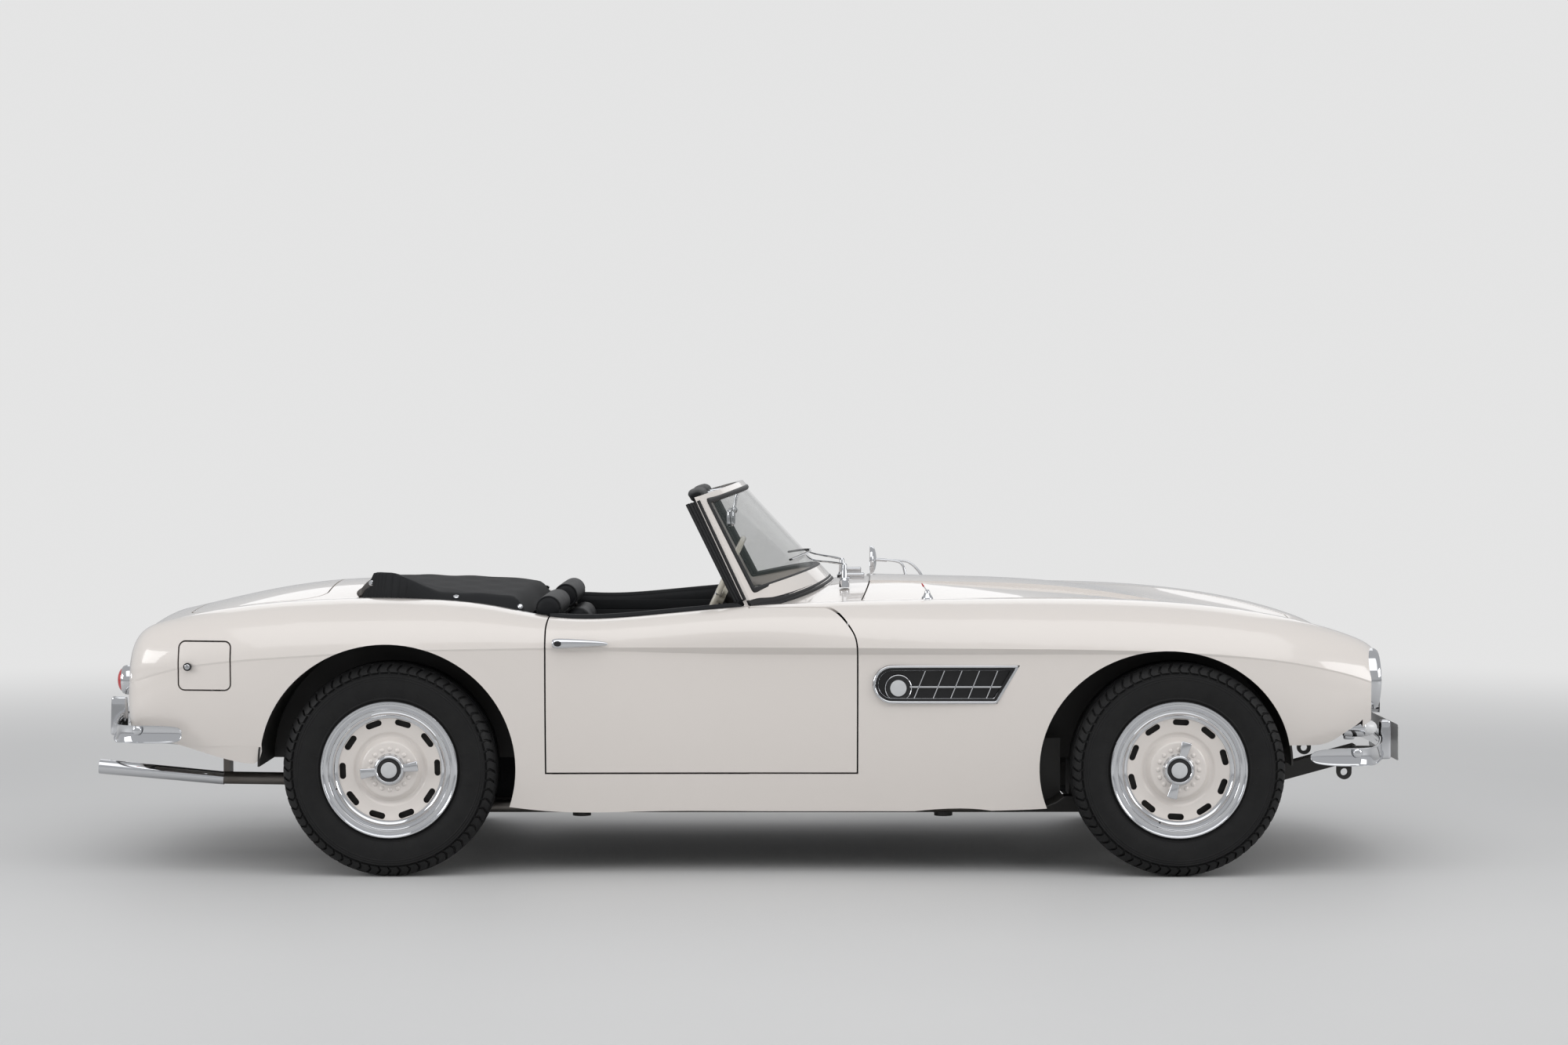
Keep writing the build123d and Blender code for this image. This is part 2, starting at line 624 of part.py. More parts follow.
DIFF_RADIUS = 105.0
RAIL_REAR_Z = 400.0         # underside of the rails where they pass over the rear axle
with BuildPart() as rear_axle:
    with BuildSketch(Plane.XZ.offset(-REAR_TRACK / 2 + 50)):
        with Locations((REAR_AXLE_X, TYRE_RADIUS)):
            Circle(AXLE_TUBE_RADIUS)
    extrude(amount=REAR_TRACK - 100)
    with Locations((REAR_AXLE_X, 0, TYRE_RADIUS)):
        Sphere(DIFF_RADIUS)
    with BuildSketch(Plane.XY.offset(TYRE_RADIUS)):
        for sign in SIDES.values():
            with Locations((REAR_AXLE_X, sign * RAIL_Y)):
                Rectangle(70, 2 * RAIL_HALF)
    extrude(amount=RAIL_REAR_Z - SEAT_GAP - TYRE_RADIUS)
    for side in SIDES:
        add(hub_end("rear", side))
finish(rear_axle.part, "rear_axle")

RAIL_REAR_X, RAIL_FRONT_X = -1930.0, 1960.0
RAIL_TALL = 51.7
RAIL_LOW_Z = FLOOR_LOW_Z - SEAT_GAP - RAIL_TALL
RAIL_BEAM_Z = TYRE_RADIUS - KINGPIN_HALF    # the rails step over the front cross beam
TOW_EYE = (1928.0, 290.0)   # x and z of the hole
TOW_EYE_RADIUS = 12.0
TOW_EYE_WIDE = 16.0
RAIL_FRONT_Z = 330.0
CROSS_MEMBERS = (-1880.0, -560.0, 200.0, 620.0)     # places along the rails
JACK_RADIUS = 35.0
JACK_DROP = 14.0
JACK_X = (-560.0, 620.0)
RAIL_LINE = [
    # x, underside
    (RAIL_REAR_X, RAIL_REAR_Z), (-1060, RAIL_REAR_Z), (-880, RAIL_LOW_Z), (1150, RAIL_LOW_Z),
    (1240, RAIL_BEAM_Z), (1440, RAIL_BEAM_Z), (RAIL_FRONT_X, RAIL_FRONT_Z),
]
with BuildPart() as chassis_frame:
    # two rails that rise over the rear axle and step over the front beam, with cross members
    for sign in SIDES.values():
        with BuildSketch(across(sign * RAIL_Y - RAIL_HALF)):
            with BuildLine():
                Polyline(
                    *RAIL_LINE,
                    *[(x, z + RAIL_TALL) for x, z in reversed(RAIL_LINE)],
                    close=True,
                )
            make_face()
        extrude(amount=-2 * RAIL_HALF)
        with BuildSketch(Plane.XY.offset(RAIL_LOW_Z - JACK_DROP)):
            for x in JACK_X:
                with Locations((x, sign * RAIL_Y)):
                    Circle(JACK_RADIUS - 5)
        extrude(amount=JACK_DROP + 5)
        with BuildSketch(across(sign * RAIL_Y - TOW_EYE_WIDE / 2)):
            with Locations(TOW_EYE):
                Circle(2 * TOW_EYE_RADIUS)
                with Locations((0, 20)):
                    Rectangle(4 * TOW_EYE_RADIUS, 40)
        extrude(amount=-TOW_EYE_WIDE)
        with BuildSketch(across(sign * RAIL_Y - TOW_EYE_WIDE)):
            with Locations(TOW_EYE):
                Circle(TOW_EYE_RADIUS)
        extrude(amount=-2 * TOW_EYE_WIDE, mode=Mode.SUBTRACT)
    for x in CROSS_MEMBERS:
        low = RAIL_REAR_Z if x < REAR_AXLE_X else RAIL_LOW_Z
        with BuildSketch(Plane.XY.offset(low + 6)):
            with Locations((x, 0)):
                Rectangle(60, 2 * RAIL_Y)
        extrude(amount=RAIL_TALL - 12)
finish(chassis_frame.part, "chassis_frame")

TUB_THICK = 6.0
TUB_BOTTOM_Z = 345.0
TUB_SLOTS = {
    # what passes through the tub's inner wall: centre_x, half width, top_z
    "front": (FRONT_AXLE_X, 75.0, 545.0),
    "rear": (REAR_AXLE_X, 60.0, 396.0),
}
ARCHES = {"front": FRONT_ARCH, "rear": REAR_ARCH}
with BuildPart() as wheelhouses:
    for axle, (arch_x, half_width, height) in ARCHES.items():
        slot_x, slot_half, slot_top = TUB_SLOTS[axle]
        with BuildSketch(across(ARCH_INNER_Y - TUB_THICK)):
            with Locations((arch_x, ARCH_BASE_Z)):
                Ellipse(half_width + 1 + TUB_THICK, height + 1 + TUB_THICK)
        extrude(amount=-FAR)
        add(
            slab(slot_x - slot_half, slot_x + slot_half, 0, ARCH_INNER_Y + 1, 0, slot_top),
            mode=Mode.SUBTRACT,
        )
    for arch_x, half_width, height in ARCHES.values():
        with BuildSketch(across(ARCH_INNER_Y)):
            with Locations((arch_x, ARCH_BASE_Z)):
                Ellipse(half_width + 1, height + 1)
        extrude(amount=-FAR, mode=Mode.SUBTRACT)
    add(lining_half, mode=Mode.INTERSECT)
    add(slab(-FAR, FAR, 0, FAR, TUB_BOTTOM_Z, FAR), mode=Mode.INTERSECT)
    mirror(about=Plane.XZ)
finish(wheelhouses.part, "wheelhouses")

# ---------------------------------------------------------------- cabin
FLOOR_FRONT_X = 655.0
FLOOR_REAR_X = -872.0
CABIN_HALF = DOOR_INNER_Y - 4
TUNNEL_HALF, TUNNEL_TOP_Z = 140.0, 400.0
FIREWALL_TOP_Z = 828.0
BULKHEAD_TOP_Z = 800.0
BOOT_FLOOR_Z = 462.0
TUB_INNER_Y = ARCH_INNER_Y - TUB_THICK - 1
TUB_FRONT_X = REAR_ARCH[0] + REAR_ARCH[1] + TUB_THICK + 3
CABIN_WALLS = [
    # x_low, x_high, y_low, y_high, z_low, z_high, on the left side and mirrored
    (TUB_FRONT_X, FLOOR_FRONT_X, 0, CABIN_HALF, FLOOR_LOW_Z, FLOOR_Z),
    (FLOOR_REAR_X, TUB_FRONT_X, 0, TUB_INNER_Y, FLOOR_LOW_Z, FLOOR_Z),
    (FLOOR_REAR_X, FLOOR_FRONT_X, 0, TUNNEL_HALF, FLOOR_Z, TUNNEL_TOP_Z),
    (FLOOR_FRONT_X - PANEL, FLOOR_FRONT_X, 0, 505, FLOOR_LOW_Z, FIREWALL_TOP_Z),
    (FLOOR_FRONT_X - PANEL, FLOOR_FRONT_X, 500, 765, FLOOR_LOW_Z, FIREWALL_TOP_Z - 20),
    (DOOR_FRONT_X + 2, DOOR_FRONT_X + 2 + PANEL, CABIN_HALF - PANEL, FAR, FLOOR_LOW_Z, BULKHEAD_TOP_Z),
    (DOOR_FRONT_X + 2, FLOOR_FRONT_X, CABIN_HALF - PANEL, CABIN_HALF, FLOOR_LOW_Z, BULKHEAD_TOP_Z),
    (DOOR_REAR_X - 2 - PANEL, DOOR_REAR_X - 2, 651, FAR, FLOOR_LOW_Z, 790),
    (TUB_FRONT_X, DOOR_REAR_X - 2, 651, 651 + PANEL, FLOOR_LOW_Z, 790),
    (TUB_FRONT_X, TUB_FRONT_X + PANEL, TUB_INNER_Y - PANEL, 651 + PANEL, FLOOR_LOW_Z, BULKHEAD_TOP_Z),
    (FLOOR_REAR_X, TUB_FRONT_X, TUB_INNER_Y - PANEL, TUB_INNER_Y, FLOOR_LOW_Z, BULKHEAD_TOP_Z),
    (FLOOR_REAR_X, FLOOR_REAR_X + PANEL, 0, TUB_INNER_Y, FLOOR_LOW_Z, BULKHEAD_TOP_Z),
    (-1940, FLOOR_REAR_X, 0, TUB_INNER_Y, BOOT_FLOOR_Z - PANEL, BOOT_FLOOR_Z),
]
with BuildPart() as floor_pan:
    for wall in CABIN_WALLS:
        add(slab(*wall))
    add(lining_half, mode=Mode.INTERSECT)
    mirror(about=Plane.XZ)
finish(floor_pan.part, "floor_pan")

WHEEL_TILT = 25.0           # the column's rise towards the driver, in degrees
COLUMN_DIR = (cos(radians(WHEEL_TILT)), 0.0, -sin(radians(WHEEL_TILT)))
HELM = (-129.0, 380.0, 840.0)       # the middle of the steering wheel
HELM_RADIUS = 205.0
HELM_GRIP = 11.0
COLUMN_RADIUS = 26.0
COLUMN_LONG = 700.0


def rod(start, end, radius):
    """A round bar between two points."""
    run = Vector(*end) - Vector(*start)
    with BuildPart() as bar:
        with BuildSketch(Plane(origin=start, z_dir=run.normalized())):
            Circle(radius)
        extrude(amount=run.length)
    return bar.part


def along_column(distance):
    return tuple(place + distance * step for place, step in zip(HELM, COLUMN_DIR))


DASH_REAR_X = -34.0
DASH_LOW_Z, DASH_HIGH_Z = 668.0, 866.0
with BuildPart() as dashboard:
    with BuildSketch(Plane.XY.offset(DASH_LOW_Z)):
        with BuildLine():
            ThreePointArc(
                (DOOR_POST_X - 1, COWL_SIDE_Y), (COWL_REAR_X - SEAT_GAP, 0), (DOOR_POST_X - 1, -COWL_SIDE_Y)
            )
            Polyline(
                (DOOR_POST_X - 1, COWL_SIDE_Y), (DASH_REAR_X, COWL_SIDE_Y),
                (DASH_REAR_X, -COWL_SIDE_Y), (DOOR_POST_X - 1, -COWL_SIDE_Y),
            )
        make_face()
    extrude(amount=DASH_HIGH_Z - DASH_LOW_Z)
    add(both_halves.part, mode=Mode.INTERSECT)
    add(rod(along_column(20), along_column(COLUMN_LONG), COLUMN_RADIUS + SEAT_GAP), mode=Mode.SUBTRACT)
finish(dashboard.part, "dashboard")

with BuildPart() as steering_column:
    add(rod(along_column(32), along_column(COLUMN_LONG), COLUMN_RADIUS))
finish(steering_column.part, "steering_column")

helm_plane = Plane(
    origin=HELM, x_dir=(0, 1, 0), z_dir=tuple(-step for step in COLUMN_DIR)
)
with BuildPart() as steering_wheel:
    with BuildSketch(Plane(origin=HELM, x_dir=(0, 1, 0), z_dir=helm_plane.y_dir)):
        with Locations((HELM_RADIUS, 0)):
            Circle(HELM_GRIP)
    revolve(axis=Axis(HELM, tuple(helm_plane.z_dir)))
    with BuildSketch(helm_plane.offset(-31.5)):
        Circle(34)
    extrude(amount=36)
    with BuildSketch(helm_plane.offset(-10)):
        for angle in (0, 180, 90):
            with Locations(Rotation(0, 0, angle)):
                with Locations((HELM_RADIUS / 2, 0)):
                    Rectangle(HELM_RADIUS - 4, 26)
    extrude(amount=12)
finish(steering_wheel.part, "steering_wheel")

SEAT_Y = (156.0, 640.0)
SEAT_PROFILE = [
    # x, z round the seat in side view: cushion, back and the roll on top
    (-120, FLOOR_Z + SEAT_GAP), (-108, 410), (-150, 445), (-520, 425), (-578, 835), (-602, 862),
    (-634, 877), (-668, 879), (-692, 862), (-700, 836), (-640, FLOOR_Z + SEAT_GAP),
]
with BuildPart() as seats:
    with BuildSketch(across(SEAT_Y[0])):
        with BuildLine():
            Polyline(*SEAT_PROFILE, close=True)
        make_face()
    extrude(amount=-(SEAT_Y[1] - SEAT_Y[0]))
    mirror(about=Plane.XZ)
finish(seats.part, "seats")

COVER_PROFILE = [
    # x, z round the folded cover in side view
    (-1276, 868), (-1272, 900), (-1246, 909), (-1180, 908), (-1070, 900), (-850, 881),
    (-760, 872), (-718, 852), (-716, BULKHEAD_TOP_Z + SEAT_GAP), (-1276, BULKHEAD_TOP_Z + SEAT_GAP),
]
COVER_HALF = 604.0
COVER_CROWN_Z = 912.0       # the cover is crowned across the car
COVER_CROWN_RADIUS = 5200.0
COVER_CORNER = [
    # x, z round the fold that stands up at the right rear corner
    (-1268, 860), (-1266, 905), (-1247, 936), (-1212, 947), (-1160, 947), (-1085, 922), (-960, 862),
]
COVER_CORNER_Y = (-604.0, -470.0)
with BuildPart() as cockpit_cover:
    with BuildSketch(across(-COVER_HALF)):
        with BuildLine():
            Polyline(*COVER_PROFILE, close=True)
        make_face()
    extrude(amount=-2 * COVER_HALF)
    with BuildPart(mode=Mode.INTERSECT):
        with BuildSketch(Plane.YZ.offset(COVER_PROFILE[0][0])):
            with Locations((0, COVER_CROWN_Z - COVER_CROWN_RADIUS)):
                Circle(COVER_CROWN_RADIUS)
        extrude(amount=COVER_PROFILE[-2][0] - COVER_PROFILE[0][0])
    with BuildPart() as fold:
        with BuildSketch(across(COVER_CORNER_Y[0])):
            with BuildLine():
                Polyline(*COVER_CORNER, close=True)
            make_face()
        extrude(amount=COVER_CORNER_Y[0] - COVER_CORNER_Y[1])
    add(cockpit_zone(-1.0), mode=Mode.INTERSECT)
finish(cockpit_cover.part, "cockpit_cover")

# ---------------------------------------------------------------- windscreen
# The screen is a ruled band between a lower and an upper bow. Each bow is an arc through its
# middle and its two ends, given as x and z in the middle, x and z at the ends, and half width.
SCREEN_LOW = (272.0, 900.0, 6.0, 830.0, 622.0)
SCREEN_HIGH = (-40.0, 1236.0, -166.0, 1196.0, 588.0)
SCREEN_THICK = 22.0
SCREEN_GLASS = 6.0
SCREEN_BORDER = 28.0


def bow(up, front, rear, narrow):
    """A crescent across the screen at a share 'up' of its height."""
    mid_x, mid_z, end_x, end_z, half = [
        low + up * (high - low) for low, high in zip(SCREEN_LOW, SCREEN_HIGH)
    ]
    back = Vector(end_x - mid_x, 0, end_z - mid_z)
    depth = back.length
    shape = Plane(origin=(mid_x, 0, mid_z), x_dir=(0, 1, 0), z_dir=Vector(0, 1, 0).cross(back).normalized())
    wide = half - narrow
    depth = depth * (wide / half) ** 2
    with BuildSketch(shape) as crescent:
        with BuildLine():
            ThreePointArc((-wide, depth + front), (0, front), (wide, depth + front))
            ThreePointArc((-wide, depth + rear), (0, rear), (wide, depth + rear))
            Line((-wide, depth + front), (-wide, depth + rear))
            Line((wide, depth + front), (wide, depth + rear))
        make_face()
    return crescent.sketch


def screen_band(low, high, front, rear, narrow):
    with BuildPart() as band:
        loft(sections=[bow(low, front, rear, narrow), bow(high, front, rear, narrow)], ruled=True)
    return band.part


SCREEN_TALL = sqrt((SCREEN_HIGH[0] - SCREEN_LOW[0]) ** 2 + (SCREEN_HIGH[1] - SCREEN_LOW[1]) ** 2)
BORDER_SHARE = SCREEN_BORDER / SCREEN_TALL
BASE_SHARE = 0.16           # the base frame is taller, as it dips under the cowl
with BuildPart() as windshield_frame:
    add(screen_band(0.0, 1.0, 0.0, SCREEN_THICK, 0.0))
    add(screen_band(BASE_SHARE, 1 - BORDER_SHARE, -40.0, 70.0, SCREEN_BORDER), mode=Mode.SUBTRACT)
    add(both_halves.part, mode=Mode.SUBTRACT)
finish(windshield_frame.part, "windshield_frame")

GLASS_FRONT = (SCREEN_THICK - SCREEN_GLASS) / 2
with BuildPart() as windshield_glass:
    add(screen_band(0.0, 1.0, GLASS_FRONT, GLASS_FRONT + SCREEN_GLASS, 1.0))
    add(
        screen_band(
            BASE_SHARE + 0.001, 1 - BORDER_SHARE - 0.001, -40.0, 70.0, SCREEN_BORDER + SEAT_GAP
        ),
        mode=Mode.INTERSECT,
    )
finish(windshield_glass.part, "windshield_glass")

VISOR_DEEP = 64.0
VISOR_SHARE = (0.925, 0.997)      # of the screen's height
VISOR_Y = (75.0, 515.0)
with BuildPart() as sun_visors:
    add(screen_band(*VISOR_SHARE, SCREEN_THICK + SEAT_GAP, SCREEN_THICK + VISOR_DEEP, 588.0 - VISOR_Y[1]))
    add(slab(-FAR, FAR, -VISOR_Y[0], VISOR_Y[0], 0, FAR), mode=Mode.SUBTRACT)
finish(sun_visors.part, "sun_visors")

MIRROR_X = (-92.0, -66.0)
MIRROR_Z = (1082.0, 1140.0)
MIRROR_HALF = 105.0
with BuildPart() as mirror_inner:
    add(slab(*MIRROR_X, -MIRROR_HALF, MIRROR_HALF, *MIRROR_Z))
    fillet(mirror_inner.edges().filter_by(Axis.X), 12)
    add(rod((-72, 0, 1125), (-50, 0, 1224), 6))
    add(windshield_frame.part, mode=Mode.SUBTRACT)
finish(mirror_inner.part, "mirror_inner")

# ---------------------------------------------------------------- engine and exhaust
ENGINE_X = (720.0, 1280.0)
ENGINE_HALF = 300.0
ENGINE_Z = (300.0, 705.0)
MOUNT_X = (1030.0, 1110.0)
RAIL_TOP_Z = RAIL_LOW_Z + RAIL_TALL
with BuildPart() as engine_block:
    add(slab(*ENGINE_X, -ENGINE_HALF, ENGINE_HALF, *ENGINE_Z))
    chamfer(engine_block.edges().filter_by(Axis.X).group_by(Axis.Z)[0], 110)
    for sign in SIDES.values():
        y_low, y_high = sorted((sign * 280.0, sign * RAIL_Y))
        add(slab(*MOUNT_X, y_low, y_high, RAIL_TOP_Z + SEAT_GAP, 440.0))
finish(engine_block.part, "engine_block")

EXHAUST_Y = 500.0
EXHAUST_RADIUS = 20.0
EXHAUST_RUN = [
    # x, y, z from the engine's side back to the tail pipe
    (940, ENGINE_HALF + 16, 440), (940, 460, 250), (860, EXHAUST_Y, 190), (-890, EXHAUST_Y, 190),
    (-1060, EXHAUST_Y, 262), (-1240, EXHAUST_Y, 262), (-1510, EXHAUST_Y, 279),
    (-1725, EXHAUST_Y, 282), (-2107, EXHAUST_Y, 318),
]
STRAP_X = (-1712.0, -1692.0)
with BuildPart() as exhausts:
    for start, end in zip(EXHAUST_RUN, EXHAUST_RUN[1:]):
        add(rod(start, end, EXHAUST_RADIUS))
    for place in EXHAUST_RUN[1:-1]:
        with Locations(place):
            Sphere(EXHAUST_RADIUS)
    add(slab(*STRAP_X, RAIL_Y + RAIL_HALF + SEAT_GAP, EXHAUST_Y, 272, 432))
    mirror(about=Plane.XZ)
finish(exhausts.part, "exhausts")

# ---------------------------------------------------------------- bumpers and plates
BUMPER_THICK = 14.0
OVERRIDER_WIDE = 38.0


def bumper(corner, end, middle_x, z_low, z_high, rider_y, tip_x, bracket_x, bracket_z):
    """A blade that wraps both corners, with two over-riders and two brackets."""
    ahead = 1 if middle_x > 0 else -1
    (corner_x, corner_y), (end_x, end_y) = corner, end
    with BuildPart() as blade:
        with BuildSketch(Plane.XY.offset(z_low)):
            with BuildLine() as line:
                ThreePointArc((corner_x, -corner_y), (middle_x, 0), (corner_x, corner_y))
                for sign in (1, -1):
                    Spline(
                        (corner_x, sign * corner_y), (end_x, sign * end_y),
                        tangents=[
                            line.edges()[0] % (1 if sign > 0 else 0) * (1 if sign > 0 else -1),
                            (-ahead, sign * 0.06),
                        ],
                    )
            trace(line_width=BUMPER_THICK)
        extrude(amount=z_high - z_low)
        for sign in SIDES.values():
            y_mid = sign * rider_y
            x_low, x_high = sorted((tip_x, middle_x - ahead * 45))
            with BuildSketch(Plane.XY.offset(z_low - 26)):
                with Locations(((x_low + x_high) / 2, y_mid)):
                    RectangleRounded(x_high - x_low, OVERRIDER_WIDE, 12)
            extrude(amount=z_high - z_low + 74)
            x_low, x_high = sorted((bracket_x, middle_x - ahead * 30))
            add(slab(x_low, x_high, sign * RAIL_Y - 20, sign * RAIL_Y + 20, *bracket_z))
    return blade.part


BLADE_FRONT_X = 2088.0
front_bumper = bumper(
    corner=(1975, 715), end=(1765, 803), middle_x=BLADE_FRONT_X, z_low=350, z_high=407,
    rider_y=330, tip_x=2096, bracket_x=RAIL_FRONT_X + SEAT_GAP, bracket_z=(342, 376),
)
rear_bumper = bumper(
    corner=(-2018, 700), end=(-1800, 803), middle_x=-2098, z_low=422, z_high=478,
    rider_y=260, tip_x=REAR_X, bracket_x=RAIL_REAR_X - SEAT_GAP, bracket_z=(408, 440),
)
PLATE_HALF = 260.0
PLATE_THICK = 3.0
PLATE_FRONT = FRONT_X - PLATE_THICK
PLATE_ARM_Y = 120.0
with BuildPart() as bumpers:
    add(front_bumper)
    for arm_y in (PLATE_ARM_Y, -PLATE_ARM_Y):
        add(slab(BLADE_FRONT_X, PLATE_FRONT - SEAT_GAP, arm_y - 12, arm_y + 12, 368, 392))
    add(rear_bumper)
finish(bumpers.part, "bumpers")

PLATE_REAR = BODY_SECTIONS[0][SECTION_X] - SEAT_GAP
with BuildPart() as number_plates:
    add(slab(PLATE_FRONT, PLATE_FRONT + PLATE_THICK, -PLATE_HALF, PLATE_HALF, 312, 431))
    add(slab(PLATE_REAR - PLATE_THICK, PLATE_REAR, -PLATE_HALF, PLATE_HALF, 500, 612))
finish(number_plates.part, "number_plates")

# ---------------------------------------------------------------- lamps, grilles and vents
with BuildPart() as headlights:
    add(lamp_bore(HEADLIGHT_Y, HEADLIGHT_Z, HEADLIGHT_RADIUS, 1905, 1992))
    fillet(headlights.edges().group_by(Axis.X)[-1], 14)
    with BuildSketch(Plane.YZ.offset(1990)):
        with Locations((HEADLIGHT_Y, HEADLIGHT_Z)):
            Circle(82)
    extrude(amount=14)
    fillet(headlights.edges().group_by(Axis.X)[-1], 8)
    mirror(about=Plane.XZ)
finish(headlights.part, "headlights")

with BuildPart() as turn_signals:
    add(lamp_bore(SIGNAL_Y, SIGNAL_Z, SIGNAL_RADIUS, 1876, 1990))
    fillet(turn_signals.edges().group_by(Axis.X)[-1], 24)
    mirror(about=Plane.XZ)
finish(turn_signals.part, "turn_signals")

with BuildPart() as tail_lights:
    add(lamp_bore(TAIL_LIGHT_Y, TAIL_LIGHT_Z, TAIL_LIGHT_RADIUS, -2022, -1960))
    fillet(tail_lights.edges().group_by(Axis.X)[0], 12)
    mirror(about=Plane.XZ)
finish(tail_lights.part, "tail_lights")

SLAT_COUNT = 17
SLAT_WIDE = 5.0
GRILLE_RIM = 12.0
with BuildPart() as nose_grilles:
    # a bright rim in each opening, with upright slats
    add(grille_hole(0.0, 30.0))
    add(grille_hole(-GRILLE_RIM, 40.0), mode=Mode.SUBTRACT)
    slat_pitch = (GRILLE_Y[1] - GRILLE_Y[0]) / (SLAT_COUNT + 1)
    with BuildPart(mode=Mode.PRIVATE) as slats:
        with BuildSketch(section_plane(NOSE_X, NOSE_SWEEP).offset(-16)):
            for count in range(SLAT_COUNT):
                with Locations((GRILLE_Y[0] + (count + 1) * slat_pitch, sum(GRILLE_Z) / 2)):
                    Rectangle(SLAT_WIDE, GRILLE_Z[1] - GRILLE_Z[0])
        extrude(amount=24)
    add(slats.part.intersect(grille_hole(-GRILLE_RIM + 2, 60.0)))
    mirror(about=Plane.XZ)
finish(nose_grilles.part, "nose_grilles")

VENT_FACE_Y = 797.0
VENT_DEEP = 24.0
VENT_RIM = 7.0
VENT_BARS = 6
with BuildPart() as side_vents:
    # a rim round the opening, a long level bar and slanted bars over a back plate
    add(vent_block(0.0, VENT_FACE_Y - VENT_DEEP, VENT_FACE_Y))
    add(vent_block(-VENT_RIM, VENT_FACE_Y - VENT_DEEP + 5, FAR), mode=Mode.SUBTRACT)
    with BuildSketch(across(VENT_FACE_Y - VENT_DEEP)):
        with Locations((sum(VENT_X) / 2 - 20, 603)):
            Rectangle(VENT_X[1] - VENT_X[0] - 80, 7)
        for count in range(VENT_BARS):
            with Locations((VENT_X[0] + 150 + count * 44, sum(VENT_Z) / 2)):
                Rectangle(5, VENT_Z[1] - VENT_Z[0] - 6, rotation=-30)
    extrude(amount=-(VENT_DEEP - 6))
    add(vent_block(0.0, VENT_FACE_Y - VENT_DEEP, VENT_FACE_Y), mode=Mode.INTERSECT)
    mirror(about=Plane.XZ)
finish(side_vents.part, "side_vents")

# ---------------------------------------------------------------- small outside pieces
HANDLE_REAR = (-612.0, 735.0, 16.5)     # x, z and radius of the thick end
HANDLE_TIP = (-458.0, 738.0, 6.0)
for side, sign in SIDES.items():
    with BuildPart() as handle:
        with BuildSketch(across(780.0)):
            for x, z, radius in (HANDLE_REAR, HANDLE_TIP):
                with Locations((x, z)):
                    Circle(radius)
            make_hull()
        extrude(amount=-41.0)
        add(outer_half, mode=Mode.SUBTRACT)
        if sign < 0:
            mirror(about=Plane.XZ, mode=Mode.REPLACE)
    finish(handle.part, f"handle_{side}")

with BuildPart() as mirror_outer:
    # a round head on two thin legs from a foot on the left wing
    add(rod((398, 600, 956), (424, 600, 956), 47))
    for foot_x in (540, 596):
        add(rod((412, 600, 935), (foot_x, 590, 868), 5))
    with BuildSketch(Plane.XY.offset(858)):
        with Locations((568, 590)):
            SlotOverall(100, 34)
    extrude(amount=16)
    add(outer_half, mode=Mode.SUBTRACT)
finish(mirror_outer.part, "mirror_outer")

with BuildPart() as antenna:
    add(rod((557, -590, 860), (557, -590, 882), 15))
    add(rod((557, -590, 880), (545, -590, 912), 4))
    add(both_halves.part, mode=Mode.SUBTRACT)
finish(antenna.part, "antenna")

WIPER_Y = (-330.0, 110.0)
with BuildPart() as wipers:
    # two pivots in the cowl, each with an arm and a blade that lies along the foot of the glass
    for y in WIPER_Y:
        add(rod((300, y, 880), (300, y, 925), 13))
        add(rod((300, y, 918), (232, y + 150, 975), 4))
        add(rod((247, y - 20, 965), (222, y + 250, 980), 5))
    add(both_halves.part, mode=Mode.SUBTRACT)
    add(screen_band(0.0, 1.0, -3.0, SCREEN_THICK, 0.0), mode=Mode.SUBTRACT)
finish(wipers.part, "wipers")
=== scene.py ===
"""Roadster convertible: the looks of an open two-seat car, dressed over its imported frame.

Metres. +X is forward, +Y is the car's left and +Z is up.
"""
from contextlib import contextmanager
from math import atan2, cos, exp, hypot, pi, radians, sin, sqrt

import bmesh
import bpy
from mathutils import Matrix, Vector


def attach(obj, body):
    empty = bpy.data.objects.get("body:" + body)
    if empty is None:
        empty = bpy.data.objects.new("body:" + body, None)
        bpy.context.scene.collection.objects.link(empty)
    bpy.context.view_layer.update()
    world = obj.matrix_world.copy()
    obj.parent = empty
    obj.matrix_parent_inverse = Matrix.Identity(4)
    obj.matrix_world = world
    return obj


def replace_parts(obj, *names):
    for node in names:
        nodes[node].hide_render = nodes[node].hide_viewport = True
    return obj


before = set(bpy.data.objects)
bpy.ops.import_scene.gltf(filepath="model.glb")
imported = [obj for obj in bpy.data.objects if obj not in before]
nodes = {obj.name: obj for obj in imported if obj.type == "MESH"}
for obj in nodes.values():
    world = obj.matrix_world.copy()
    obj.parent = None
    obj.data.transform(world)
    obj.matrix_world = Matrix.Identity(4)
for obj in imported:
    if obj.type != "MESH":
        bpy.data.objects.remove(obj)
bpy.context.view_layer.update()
bpy.ops.object.select_all(action="DESELECT")

# ---------- studio
# A pale seamless floor, a soft key lamp overhead, a weaker one from each side, and a camera that
# looks square at the car's right side from a little above its waist.
CAMERA_PLACE = (0.1, -10.74, 1.402)
CAMERA_LENS_MM = 72.9
CAMERA_PITCH = 1.65
bpy.ops.object.camera_add(location=CAMERA_PLACE, rotation=(radians(90 - CAMERA_PITCH), 0, 0))
camera = bpy.context.object
camera.data.lens = CAMERA_LENS_MM
camera.data.sensor_width = 36
bpy.context.scene.camera = camera
bpy.context.scene.view_settings.view_transform = "Standard"


